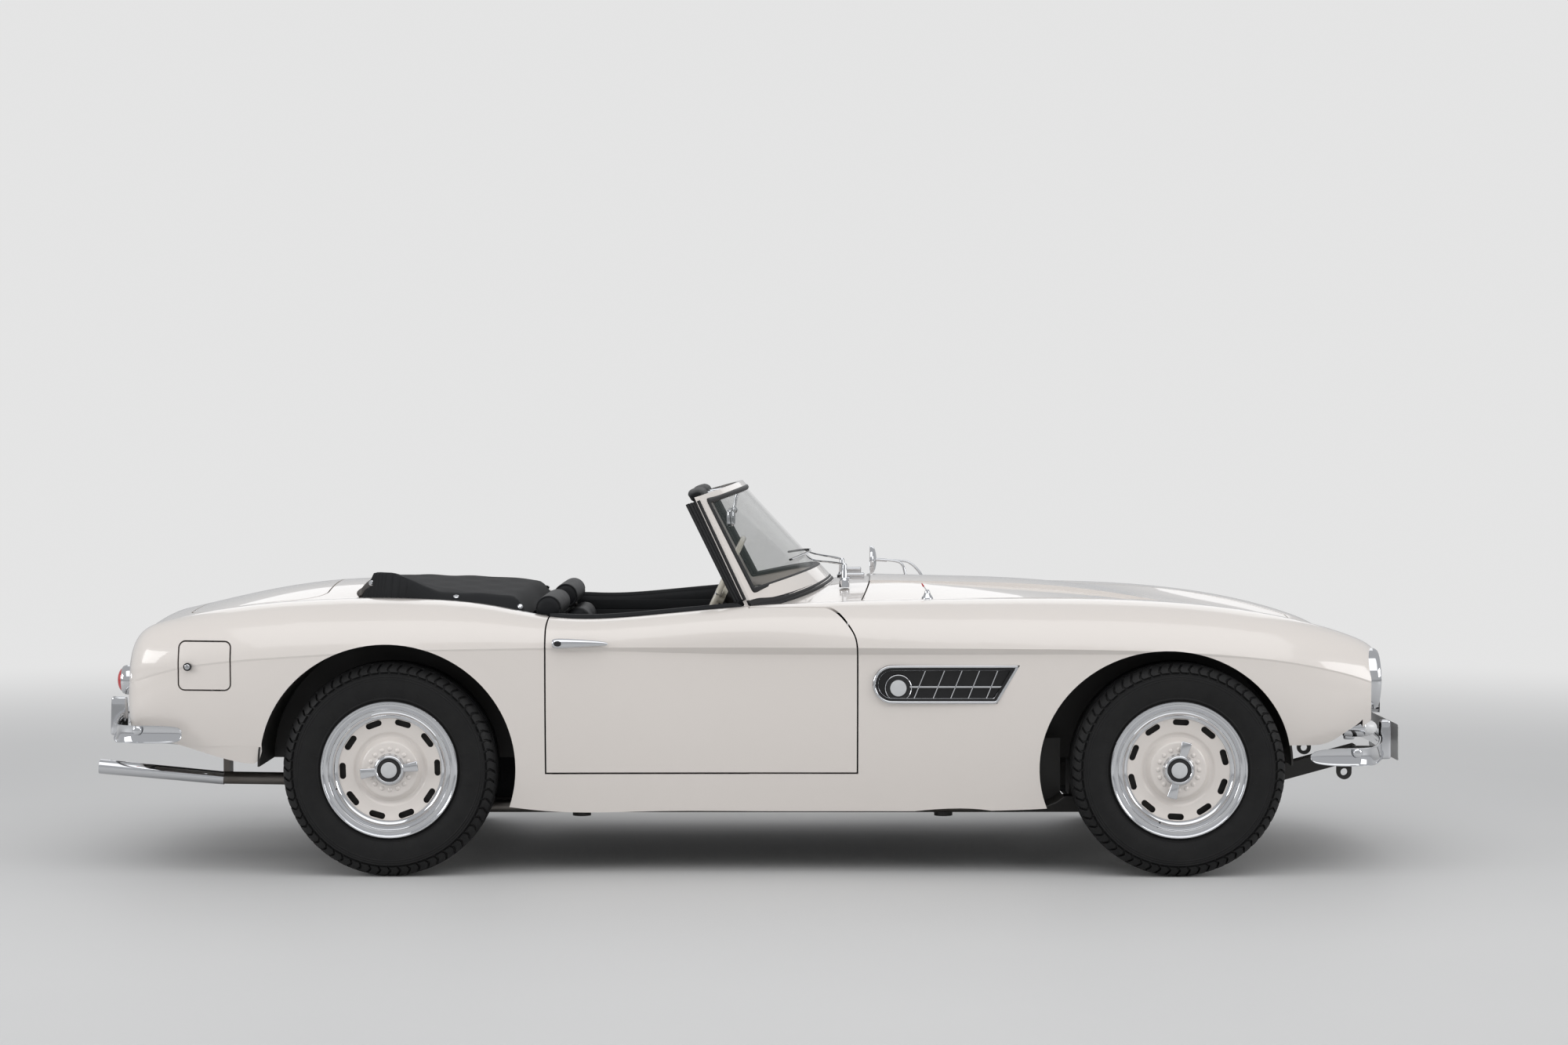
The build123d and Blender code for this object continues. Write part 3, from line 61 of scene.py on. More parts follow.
class Socket:
    """What one shader node gives. A sum, product or comparison of it adds a Math node."""

    def __init__(self, finish, output):
        self.finish, self.output = finish, output

    def math(self, operation, first, second):
        return self.finish.node("ShaderNodeMath", {"operation": operation}, {0: first, 1: second})

    def __add__(self, other):
        return self.math("ADD", self, other)

    def __mul__(self, other):
        return self.math("MULTIPLY", self, other)

    def __gt__(self, other):
        return self.math("GREATER_THAN", self, other)


class Finish:
    """A material, built up node by node on one glossy shader."""

    def __init__(self, name, slot=None, **values):
        self.slot = slot or name
        self.material = bpy.data.materials.new(name)
        self.material.use_nodes = True
        self.tree = self.material.node_tree
        self.shader = self.tree.nodes["Principled BSDF"]
        for socket, value in values.items():
            self.shader.inputs[socket.replace("_", " ")].default_value = value

    def node(self, kind, settings=None, inputs=None, output=0):
        made = self.tree.nodes.new(kind)
        for name, value in (settings or {}).items():
            if name == "stops":
                for stop, (place, shade) in zip(made.color_ramp.elements, value):
                    stop.position, stop.color = place, shade
            else:
                setattr(made, name, value)
        for name, value in (inputs or {}).items():
            if isinstance(value, Socket):
                self.tree.links.new(value.output, made.inputs[name])
            else:
                made.inputs[name].default_value = value
        return Socket(self, made.outputs[output])

    def place(self):
        return self.node("ShaderNodeTexCoord", output="Object")

    def noise(self, scale, detail=2.0, where=None):
        inputs = {"Vector": where or self.place(), "Scale": scale, "Detail": detail}
        return self.node("ShaderNodeTexNoise", inputs=inputs)

    def blend(self, share, first, second):
        inputs = {0: share, 6: first, 7: second}
        return self.node("ShaderNodeMix", {"data_type": "RGBA"}, inputs, output=2)

    def bump(self, height, distance, strength=1.0):
        inputs = {"Height": height, "Distance": distance, "Strength": strength}
        self.feed("Normal", self.node("ShaderNodeBump", inputs=inputs))

    def feed(self, socket, value):
        self.tree.links.new(value.output, self.shader.inputs[socket])

    def tone(self, share, first, second, detail=2.0):
        """Colours it between two shades, by a share or by a noise of a scale."""
        if not isinstance(share, Socket):
            share = self.noise(share, detail)
        self.feed("Base Color", self.blend(share, (*first, 1), (*second, 1)))

    def bands(self, way, scale):
        inputs = {"Vector": self.place(), "Scale": scale, "Distortion": 0.0}
        return self.node(
            "ShaderNodeTexWave", {"wave_type": "BANDS", "bands_direction": way}, inputs
        )


FLOOR_HALF = 60.0
PALE = (0.78, 0.78, 0.78, 1)
FLOOR_LIT, FLOOR_FADED = 3.6, 9.5     # how far from the car the floor starts and ends its fade
bpy.ops.mesh.primitive_plane_add(size=2 * FLOOR_HALF, location=(0, 0, 0))
floor = bpy.context.object
floor.name = "studio_floor"
floor_finish = Finish("pale_floor", Roughness=0.6)
floor_finish.tone(0.6, (0.62, 0.62, 0.62), (0.66, 0.66, 0.655), 3.0)
floor_reach = floor_finish.node(
    "ShaderNodeVectorMath", {"operation": "LENGTH"}, {0: floor_finish.place()}, output="Value"
)
floor_span = {"Value": floor_reach, "From Min": FLOOR_LIT, "From Max": FLOOR_FADED}
floor_fade = floor_finish.node(
    "ShaderNodeMapRange", {"interpolation_type": "SMOOTHSTEP"}, floor_span
)
floor_seen = floor_finish.node("ShaderNodeLightPath", output="Is Camera Ray")
floor_glow = floor_finish.node("ShaderNodeEmission", inputs={"Color": PALE, "Strength": 1.0})
floor_lit = Socket(floor_finish, floor_finish.shader.outputs["BSDF"])
floor_mix = floor_finish.node(
    "ShaderNodeMixShader", inputs={0: floor_fade * floor_seen, 1: floor_lit, 2: floor_glow}
)
floor_out = floor_finish.tree.nodes["Material Output"]
floor_finish.tree.links.new(floor_mix.output, floor_out.inputs["Surface"])
floor.data.materials.append(floor_finish.material)

LAMPS = [
    # name, place, aim, width, depth, watts
    ("key", (0.5, -3.5, 5.2), (0.0, 0.0, 0.5), 8.5, 5.0, 142),
    ("rear_fill", (-6.5, -3.0, 2.6), (-1.0, 0.0, 0.6), 3.2, 2.4, 100),
    ("front_fill", (7.0, -3.5, 2.6), (1.2, 0.0, 0.6), 3.2, 2.4, 92),
    ("back", (0.0, 5.5, 4.2), (0.0, 0.0, 0.6), 7.5, 4.2, 68),
]
for name, place, aim, width, depth, watts in LAMPS:
    turn = (Vector(aim) - Vector(place)).to_track_quat("-Z", "Y").to_euler()
    bpy.ops.object.light_add(type="AREA", location=place, rotation=turn)
    lamp = bpy.context.object
    lamp.name = name
    lamp.data.shape = "RECTANGLE"
    lamp.data.size, lamp.data.size_y, lamp.data.energy = width, depth, watts

world = bpy.data.worlds.new("studio_air")
bpy.context.scene.world = world
world.use_nodes = True
world_nodes, world_links = world.node_tree.nodes, world.node_tree.links
seen = world_nodes.new("ShaderNodeLightPath")
shown = world_nodes.new("ShaderNodeMath")
shown.operation = "MAXIMUM"
world_links.new(seen.outputs["Is Camera Ray"], shown.inputs[0])
world_links.new(seen.outputs["Is Transmission Ray"], shown.inputs[1])
air = world_nodes["Background"]
air.inputs["Color"].default_value = (0.52, 0.525, 0.535, 1)
pale = world_nodes.new("ShaderNodeBackground")
pale.inputs["Color"].default_value = PALE
either = world_nodes.new("ShaderNodeMixShader")
world_links.new(shown.outputs[0], either.inputs[0])
world_links.new(air.outputs[0], either.inputs[1])
world_links.new(pale.outputs[0], either.inputs[2])
world_links.new(either.outputs[0], world_nodes["World Output"].inputs["Surface"])

# ---------- body panels
# Pressed and hand-finished aluminium panels, hung with an even shut line and sprayed in gloss
# cream enamel. The shapes are the frame's own, and the enamel has a faint orange peel.
PANELS = [
    "front_body", "rear_body", "sills", "bonnet", "boot_lid", "fuel_flap", "door_left", "door_right"
]
CREAM = (0.77, 0.722, 0.682)
CREAM_DEEP = (0.735, 0.688, 0.648)
enamel = Finish("cream_enamel", "cream_paint", Roughness=0.3, Coat_Weight=1.0, Coat_Roughness=0.03)
enamel.tone(1.3, CREAM, CREAM_DEEP, 3.0)
enamel.bump(enamel.noise(420.0, 1.0), 0.00002, 0.35)


def dress(finish, *names):
    """Gives CAD nodes a finish in place of the plain one that they came with."""
    for name in names:
        slots = nodes[name].data.materials
        slots.clear()
        slots.append(finish.material)


dress(enamel, *PANELS)

# ---------- tyres
# Cross-ply tyres on 16 inch rims: a black rubber carcass with fine rings moulded in the wall,
# shoulder blocks cut apart by arrow-shaped grooves, and five zigzag ribs round the crown.
def mm(*points):
    """Points given in millimetres, in metres. A fourth number is a share, and stays as it is."""
    return [(*[number / 1000 for number in point[:3]], *point[3:]) for point in points]


WHEELS = [
    # axle, side, sign of y, hub x, hub y, body
    ("rear", "right", -1, -1.14, -0.7125, "wheel_rr"),
    ("rear", "left", 1, -1.14, 0.7125, "wheel_rl"),
    ("front", "right", -1, 1.34, -0.7225, "wheel_fr"),
    ("front", "left", 1, 1.34, 0.7225, "wheel_fl"),
]
HUB_Z = 0.338
TYRE_SEGMENTS = 256
TYRE_WALL = mm(
    # radius, distance out from the middle of the wheel, from the bead to the shoulder
    (205, 68.5), (214, 77.5), (222, 82), (223.5, 83.2), (226.5, 83.2), (228, 82.6), (243, 87.8),
    (256, 90.5), (264, 91.2), (276, 91.8), (284, 91.4), (285, 92.2), (286.8, 92.1), (287.8, 91.1),
    (291, 90.7), (292, 91.5), (293.8, 91.3), (294.8, 90.2), (298.2, 89.6), (299.2, 90.3),
    (301, 89.9), (302, 88.2), (305.4, 85.6), (310.8, 82.2), (316, 78), (321.3, 73), (326.2, 66.8),
    (329.2, 60.5), (329.6, 55.2),
)
SHOULDER = (0.305, 0.329)
BLOCK_SEGMENTS = 4
BLOCK_HEIGHT = 0.0066
ARROW_TIP = 0.3165
ARROW_SLANT = 2.4           # how far the groove turns, in radians to each metre from its tip
MOULD_LINES, MOULD_LINE_HEIGHT = 32, 0.0006
MOULD_LINE_RADII = (0.23, 0.256)
RIB_PLACES = (-0.048, -0.024, 0.0, 0.024, 0.048)
RIB_HALF = 0.0092
RIB_WAVE = 0.0032
RIB_BASE = 0.3295
CROWN_RADIUS = 0.338
CROWN_DROP = 0.9            # metres of drop per square metre out from the middle
POLE = 0.002                # the radius of a ring that closes to a point, in millimetres
UP = (0, 0, 1)

rubber = Finish("tyre_rubber", Roughness=0.62, Specular_IOR_Level=0.25)
rubber.tone(18.0, (0.005, 0.005, 0.0056), (0.013, 0.013, 0.013), 4.0)
rubber.feed("Roughness", rubber.noise(60.0, 2.0) * 0.25 + 0.42)
rubber.bump(rubber.noise(300.0, 3.0), 0.0003, 0.4)


def turned(rings, segments, closed=False):
    """A round piece about the Y axis: a circle, extruded from ring to ring of (radius, y)."""
    bpy.ops.object.select_all(action="DESELECT")
    radius, along = rings[0]
    bpy.ops.mesh.primitive_circle_add(
        vertices=segments, radius=radius, location=(0, along, 0), rotation=(radians(90), 0, 0)
    )
    bpy.ops.object.transform_apply(location=True, rotation=True, scale=True)
    with editing():
        bpy.ops.mesh.select_mode(type="VERT")
        bpy.ops.mesh.select_all(action="SELECT")
        for next_radius, next_along in rings[1:] + ([rings[0]] if closed else []):
            bpy.ops.mesh.extrude_region_move(
                TRANSFORM_OT_translate={"value": (0, next_along - along, 0)}
            )
            grow = next_radius / radius
            bpy.ops.transform.resize(value=(grow, 1, grow), center_override=(0, next_along, 0))
            radius, along = next_radius, next_along
        bpy.ops.mesh.select_all(action="SELECT")
        bpy.ops.mesh.remove_doubles(threshold=0.00001)
        bpy.ops.mesh.normals_make_consistent(inside=False)
    return bpy.context.object


def choose(piece, *others):
    """Makes a piece the active one, and selects it and others alone."""
    bpy.ops.object.select_all(action="DESELECT")
    for chosen in (piece, *others):
        chosen.select_set(True)
    bpy.context.view_layer.objects.active = piece


@contextmanager
def editing():
    """Edit mode, for the lines inside a with statement."""
    bpy.ops.object.mode_set(mode="EDIT")
    yield
    bpy.ops.object.mode_set(mode="OBJECT")


def face_outwards(joined_within=0.0):
    """Turns all faces of the active piece outwards, once its points that meet are joined."""
    with editing():
        bpy.ops.mesh.select_all(action="SELECT")
        if joined_within:
            bpy.ops.mesh.remove_doubles(threshold=joined_within)
        bpy.ops.mesh.normals_make_consistent(inside=False)


def pick(kind, test):
    """In edit mode, selects the faces, edges or vertices whose middle passes the test."""
    bpy.ops.mesh.select_mode(type={"verts": "VERT", "edges": "EDGE", "faces": "FACE"}[kind])
    bpy.ops.mesh.select_all(action="DESELECT")
    shape = bmesh.from_edit_mesh(bpy.context.edit_object.data)
    for part in getattr(shape, kind):
        corners = [part] if kind == "verts" else part.verts
        middle = sum((corner.co for corner in corners), Vector()) / len(corners)
        if test(middle):
            part.select_set(True)
    shape.select_flush_mode()
    bmesh.update_edit_mesh(bpy.context.edit_object.data)


def settle(piece, name, finish, body="body", place=(0, 0, 0), angle=35):
    """Names a piece, moves its mesh to its place, and gives it its finish and body."""
    choose(piece)
    piece.location = Vector(place) + piece.location
    bpy.ops.object.transform_apply(location=True, rotation=True, scale=True)
    bpy.ops.object.shade_smooth_by_angle(angle=radians(angle))
    piece.name = name
    piece.data.materials.clear()
    piece.data.materials.append(finish.material)
    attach(piece, body)
    return piece


def join(first, *others):
    """Joins pieces into the first one."""
    choose(first, *others)
    bpy.ops.object.join()
    return first


def segment_of(middle, segments):
    """Which segment of a turned piece a point lies in."""
    return int((atan2(middle.z, middle.x) / (2 * pi) + 1) * segments)


def reshape(piece, move):
    """Moves each point of a piece to where the rule sends it."""
    for point in piece.data.vertices:
        point.co = move(point.co)


def slant(point):
    """Swings a tyre's shoulder round, least at the tip of its arrow-shaped grooves."""
    radius = hypot(point.x, point.z)
    if radius < SHOULDER[0] - 0.004 or abs(point.y) < 0.052:
        return point
    return Matrix.Rotation(ARROW_SLANT * abs(radius - ARROW_TIP), 3, "Y") @ point


for axle, side, sign, hub_x, hub_y, body in WHEELS:
    outer = [(radius, sign * along) for radius, along in TYRE_WALL]
    inner = [(radius, -sign * along) for radius, along in reversed(TYRE_WALL)]
    tyre = turned(outer + inner, TYRE_SEGMENTS, closed=True)
    with editing():
        pick(
            "faces",
            lambda middle: SHOULDER[0] < hypot(middle.x, middle.z) < SHOULDER[1]
            and segment_of(middle, TYRE_SEGMENTS) % BLOCK_SEGMENTS,
        )
        bpy.ops.mesh.extrude_region_shrink_fatten(
            TRANSFORM_OT_shrink_fatten={"value": BLOCK_HEIGHT}
        )
        pick(
            "faces",
            lambda middle: MOULD_LINE_RADII[0] < hypot(middle.x, middle.z) < MOULD_LINE_RADII[1]
            and segment_of(middle, TYRE_SEGMENTS) % (TYRE_SEGMENTS // MOULD_LINES) == 0,
        )
        bpy.ops.mesh.extrude_region_shrink_fatten(
            TRANSFORM_OT_shrink_fatten={"value": MOULD_LINE_HEIGHT}
        )
    reshape(tyre, slant)
    ribs = []
    for middle_y in RIB_PLACES:
        top = CROWN_RADIUS - CROWN_DROP * middle_y**2
        rings = [
            (RIB_BASE, middle_y - RIB_HALF), (top - 0.0008, middle_y - RIB_HALF),
            (top, middle_y - RIB_HALF + 0.0012), (top, middle_y + RIB_HALF - 0.0012),
            (top - 0.0008, middle_y + RIB_HALF), (RIB_BASE, middle_y + RIB_HALF),
        ]
        rib = turned(rings, TYRE_SEGMENTS // 2, closed=True)
        with editing():
            half = TYRE_SEGMENTS // 2
            pick("verts", lambda place: segment_of(place + place.normalized() * 0.0001, half) % 2)
            bpy.ops.transform.translate(value=(0, RIB_WAVE, 0))
        ribs.append(rib)
    tyre = join(tyre, *ribs)
    settle(tyre, f"tread_tyre_{axle}_{side}", rubber, body=body, place=(hub_x, hub_y, HUB_Z))
    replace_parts(tyre, f"tyre_{axle}_{side}")

# ---------- wheels
# Pressed steel discs in cream enamel with ten slots, riveted into a rim, with a bright trim ring
# and a two-eared, chromed knock-off nut round a plain black and bright hub disc.
chrome = Finish("bright_chrome", Metallic=1.0, Base_Color=(0.66, 0.67, 0.69, 1), Roughness=0.06)
chrome.feed("Roughness", chrome.noise(25.0, 3.0) * 0.07 + 0.03)
black_gloss = Finish("black_enamel", "black_paint", Roughness=0.2)
black_gloss.tone(30.0, (0.006, 0.006, 0.007), (0.015, 0.015, 0.016))
plain_white = Finish("plain_white", "plate_white", Roughness=0.25, Coat_Weight=0.6)
plain_white.tone(60.0, (0.62, 0.63, 0.64), (0.54, 0.55, 0.56))

cast_iron = Finish("cast_iron", "engine_iron", Metallic=0.4, Roughness=0.65)
cast_iron.tone(14.0, (0.03, 0.03, 0.03), (0.06, 0.056, 0.052), 4.0)
cast_iron.bump(cast_iron.noise(160.0, 3.0), 0.0006, 0.6)

DISC_SEGMENTS = 120
SLOTS = 10
SLOT_PLACE, SLOT_LONG, SLOT_WIDE = 0.149, 0.0515, 0.0195
SLOT_TURN = {"front": 15.0, "rear": 2.0}
RIM_RINGS = mm(
    (194.5, -72), (214.5, -86), (214.5, -80), (203, -72), (203, 70), (213, 78), (214.2, 81),
    (213.8, 83.5), (211, 84.5), (206, 83.5), (199, 79), (195, 70), (194.5, 50),
)
TRIM_RINGS = mm(
    (214, 81.5), (216, 84), (216.2, 87.2), (214, 89.6), (210.5, 90.2), (208.2, 89), (206.8, 86.2),
    (204, 85), (197.5, 84.6), (195.5, 85.8), (193, 85.8), (191.2, 84.2), (190, 80.5), (187, 79),
    (181.5, 78.2), (179.8, 79.2), (177.8, 79), (176.4, 77.2), (174.8, 73.8), (170, 70),
    (165.5, 67.2), (162.5, 67.2), (161.5, 65.5), (176, 65.5), (195, 75.5),
)
DISC_RINGS = mm(
    (194.2, 56), (185, 60), (176, 63.2), (169, 64.5), (162, 64), (158, 62.8), (149, 60),
    (140, 57.6), (130, 55.5), (120, 54), (115.5, 53), (113.5, 51.2), (108, 48.2), (102, 48.8),
    (99.5, 51.2), (95, 55.5), (91.5, 60), (89, 65), (86, 67.2), (83, 68), (70, 68.5), (60, 69),
    (56, 70), (48, 70.5),
)
HUB_RINGS = mm(
    (50, 69), (50.5, 73), (48.5, 76), (47, 80), (47, 85.5), (45.5, 89.5), (42.5, 91.8),
    (38.5, 92.2), (37.2, 90.8), (30, 88),
)
PLATE_RINGS = mm((37.4, 90.4), (36.8, 91.4), (35.5, 91.8), (26.2, 91.8), (25.2, 91.2), (20, 90.5))
BADGE_RINGS = mm((25.4, 90.8), (25, 92.4), (23.5, 93.2), (12, 93.8), (POLE, 94))
DRUM_RINGS = mm(
    (130, -15), (164, -15), (164, 0), (160, 2), (160, 18), (164, 20), (164, 30), (160, 36),
    (90, 42), (60, 48),
)
EAR_START, EAR_TIP = 0.038, 0.0915
EAR_ROOT_HALF, EAR_TIP_HALF, EAR_Y, EAR_THICK = 0.0115, 0.017, 0.078, 0.011
EAR_TURN = {"front": 75.0, "rear": 8.0}
STUDS, STUD_RADIUS, STUD_RING = 16, 0.0084, 0.064
VALVE_RING, VALVE_TURN = 0.176, {"front": 250.0, "rear": 200.0}
VALVE_RINGS = mm((4, 60), (4, 68), (2.6, 71), (2.6, 80), (3, 81), (POLE, 84))


def outward(rings, sign):
    """Rings that face out of the car on its side of that sign."""
    return [(radius, sign * along) for radius, along in rings]


def block(low, high, bevel=0.0, segments=3):
    """A rounded block between two corners."""
    bpy.ops.object.select_all(action="DESELECT")
    middle = [(a + b) / 2 for a, b in zip(low, high)]
    bpy.ops.mesh.primitive_cube_add(size=1, location=middle)
    piece = bpy.context.object
    piece.scale = [abs(b - a) for a, b in zip(low, high)]
    bpy.ops.object.transform_apply(location=True, rotation=False, scale=True)
    if bevel:
        with editing():
            bpy.ops.mesh.select_all(action="SELECT")
            bpy.ops.mesh.bevel(offset=bevel, segments=segments, affect="EDGES")
    return piece


def beside(sign, low, high, **shape):
    """A rounded block on the left side of the car, or its mirror image on the right."""
    return block((low[0], sign * low[1], low[2]), (high[0], sign * high[1], high[2]), **shape)


def swung(piece, degrees, axis="Y"):
    """Turns a piece's mesh about an axis of the car, from X towards Z for Y."""
    turn = Matrix.Rotation(radians(-degrees if axis == "Y" else degrees), 3, axis)
    reshape(piece, lambda point: turn @ point)
    return piece


def carried(piece, place, degrees=0, axis="Y"):
    """Turns a piece's mesh about an axis through the origin, as a screw turns, and moves it."""
    turn = Matrix.Rotation(radians(degrees), 3, axis)
    reshape(piece, lambda point: turn @ point + Vector(place))
    return piece


def copied(piece):
    """A copy of a piece with a mesh of its own."""
    twin = piece.copy()
    twin.data = piece.data.copy()
    bpy.context.collection.objects.link(twin)
    return twin


def cut_out(piece, cutter):
    """Cuts one piece's shape out of another."""
    choose(piece)
    hole = piece.modifiers.new("hole", "BOOLEAN")
    hole.object, hole.operation, hole.solver = cutter, "DIFFERENCE", "EXACT"
    bpy.ops.object.modifier_apply(modifier="hole")
    bpy.data.objects.remove(cutter)
    return piece


def finish_with(piece, kind, **settings):
    """Adds a modifier to a piece and applies it."""
    choose(piece)
    made = piece.modifiers.new("made", kind)
    for name, value in settings.items():
        setattr(made, name, value)
    bpy.ops.object.modifier_apply(modifier="made")
    return piece


for axle, side, sign, hub_x, hub_y, body in WHEELS:
    hub = (hub_x, hub_y, HUB_Z)
    node = f"wheel_{axle}_{side}"
    rim = turned(outward(RIM_RINGS, sign), 120, closed=True)
    settle(rim, f"rim_{axle}_{side}", enamel, body=body, place=hub)
    trim = turned(outward(TRIM_RINGS, sign), 160, closed=True)
    settle(trim, f"trim_ring_{axle}_{side}", chrome, body=body, place=hub)

    disc = turned(outward(DISC_RINGS, sign), DISC_SEGMENTS)
    finish_with(disc, "SOLIDIFY", thickness=0.0035, offset=-1)
    cutter = beside(
        sign, (-SLOT_WIDE / 2, 0.045, -SLOT_LONG / 2), (SLOT_WIDE / 2, 0.075, SLOT_LONG / 2)
    )
    with editing():
        pick("edges", lambda middle: abs(middle.x) > 0.006 and abs(middle.z) > 0.0245)
        bpy.ops.mesh.bevel(offset=SLOT_WIDE / 2 - 0.0002, segments=6, affect="EDGES")
    carried(cutter, (SLOT_PLACE, 0, 0))
    cutters = [
        swung(copied(cutter), SLOT_TURN[axle] + 360 * count / SLOTS)
        for count in range(1, SLOTS)
    ]
    cutter = join(swung(cutter, SLOT_TURN[axle]), *cutters)
    cut_out(disc, cutter)
    studs = []
    for count in range(STUDS):
        angle = 2 * pi * count / STUDS
        place = (STUD_RING * cos(angle), sign * 0.0665, STUD_RING * sin(angle))
        bpy.ops.mesh.primitive_uv_sphere_add(
            segments=12, ring_count=8, radius=STUD_RADIUS, location=place
        )
        stud = bpy.context.object
        stud.scale = (1, 0.85, 1)
        bpy.ops.object.transform_apply(location=True, rotation=True, scale=True)
        studs.append(stud)
    disc = join(disc, *studs)
    settle(disc, f"disc_{axle}_{side}", enamel, body=body, place=hub)
    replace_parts(disc, node)

    nut = turned(outward(HUB_RINGS, sign), 96)
    ears = []
    for end in (1, -1):
        ear = beside(
            sign, (EAR_START, EAR_Y, -EAR_ROOT_HALF), (EAR_TIP, EAR_Y + EAR_THICK, EAR_ROOT_HALF)
        )
        with editing():
            pick("faces", lambda middle: middle.x > EAR_TIP - 0.001)
            spread = EAR_TIP_HALF / EAR_ROOT_HALF
            middle_y = sign * (EAR_Y + EAR_THICK / 2)
            bpy.ops.transform.resize(value=(1, 0.75, spread), center_override=(0, middle_y, 0))
            bpy.ops.transform.translate(value=(0, sign * 0.003, 0))
            bpy.ops.mesh.select_all(action="SELECT")
            bpy.ops.mesh.bevel(offset=0.0038, segments=4, affect="EDGES")
        ears.append(swung(ear, EAR_TURN[axle] + (0 if end > 0 else 180)))
    nut = join(nut, *ears)
    settle(nut, f"knock_off_{axle}_{side}", chrome, body=body, place=hub)
    plate = turned(outward(PLATE_RINGS, sign), 64)
    settle(plate, f"hub_plate_{axle}_{side}", black_gloss, body=body, place=hub)
    badge = turned(outward(BADGE_RINGS, sign), 64)
    settle(
        badge, f"hub_disc_{axle}_{side}", plain_white, body=body, place=hub
    )

    drum = turned(outward(DRUM_RINGS, sign), 96)
    settle(drum, f"brake_drum_{axle}_{side}", cast_iron, body=body, place=hub)

    angle = radians(VALVE_TURN[axle])
    valve = turned(outward(VALVE_RINGS, sign), 16)
    valve_place = (hub_x + VALVE_RING * cos(angle), hub_y, HUB_Z + VALVE_RING * sin(angle))
    settle(
        valve, f"valve_{axle}_{side}", black_gloss, body=body, place=valve_place
    )

# ---------- headlights
# Sealed headlights: a bright bezel screwed to the wing, a lightly ribbed, domed glass, and a
# silvered reflector with its bulb shield behind it.
SIDES = {"right": -1, "left": 1}
LAMP_Y, LAMP_Z = 0.61, 0.611
BEZEL_RINGS = mm(
    (96.5, 1920), (98.2, 1950), (99.2, 1972), (98.8, 1979), (96.2, 1987), (92.5, 1992),
    (88, 1992.8), (84.2, 1991), (83.2, 1988), (83, 1982),
)
LENS_RINGS = mm(
    (83.6, 1985), (83.2, 1988.6), (78, 1993.6), (66, 1997.8), (50, 2000.8), (33, 2002.6),
    (16, 2003.6), (POLE, 2003.9),
)
BOWL_RINGS = mm(
    (83, 1984), (81.5, 1978), (74, 1962), (60, 1943), (42, 1929), (22, 1921), (POLE, 1919),
)
BULB_RINGS = mm((11, 1920), (11, 1948), (15, 1952), (15, 1960), (9, 1966), (POLE, 1967.5))

lamp_glass = Finish(
    "lamp_glass", "screen_glass", Base_Color=(0.97, 0.98, 0.99, 1), Roughness=0.02, IOR=1.45,
    Transmission_Weight=1.0,
)
lamp_glass.bump(lamp_glass.bands("Y", 28.0), 0.0006, 0.5)
silvered = Finish(
    "silvered_bowl", "bright_chrome", Metallic=1.0, Base_Color=(0.86, 0.87, 0.88, 1), Roughness=0.12
)
silvered.feed("Roughness", silvered.noise(60.0) * 0.06 + 0.08)


def lathe(rings, segments, towards=(1, 0, 0), centre=(0, 0, 0), closed=False):
    """A turned piece whose axis points a given way, through a given point."""
    piece = turned(rings, segments, closed)
    turn = Vector(towards).to_track_quat("Y", "Z").to_matrix()
    reshape(piece, lambda point: turn @ point + Vector(centre))
    return piece


def both_sides(name, rings, segments, finish, y, z):
    """A turned piece at each side of the car, its axis along the car's length."""
    return [
        settle(lathe(rings, segments, centre=(0, sign * y, z)), f"{name}_{side}", finish)
        for side, sign in SIDES.items()
    ]


for bezel in both_sides("headlight_bezel", BEZEL_RINGS, 96, chrome, LAMP_Y, LAMP_Z):
    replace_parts(bezel, "headlights")
both_sides("headlight_glass", LENS_RINGS, 72, lamp_glass, LAMP_Y, LAMP_Z)
both_sides("headlight_bowl", BOWL_RINGS, 64, silvered, LAMP_Y, LAMP_Z)
both_sides("headlight_bulb", BULB_RINGS, 24, chrome, LAMP_Y, LAMP_Z)

# ---------- turn signals
# Small bullet lamps under the headlights: a bright base let into the wing, and a white lens that
# is blown as a long dome, fluted inside.
SIGNAL_Y, SIGNAL_Z = 0.655, 0.459
SIGNAL_BASE = mm(
    (27, 1880), (29.2, 1900), (30, 1926), (30.2, 1938), (29.6, 1944), (28.6, 1946.5), (27.2, 1946),
)
SIGNAL_LENS = mm(
    (27.6, 1943), (28.1, 1948), (27.1, 1956), (24.5, 1965), (20.4, 1974), (14.5, 1982),
    (7.5, 1986.8), (POLE, 1988.5),
)
milky_lens = Finish(
    "milky_lens", "plate_white", Roughness=0.15, Coat_Weight=0.5, Coat_Roughness=0.05
)
milky_lens.tone(40.0, (0.72, 0.73, 0.74), (0.8, 0.8, 0.8))
milky_lens.bump(milky_lens.bands("X", 60.0), 0.0004, 0.5)
for base in both_sides("signal_base", SIGNAL_BASE, 48, chrome, SIGNAL_Y, SIGNAL_Z):
    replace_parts(base, "turn_signals")
both_sides("signal_lens", SIGNAL_LENS, 48, milky_lens, SIGNAL_Y, SIGNAL_Z)

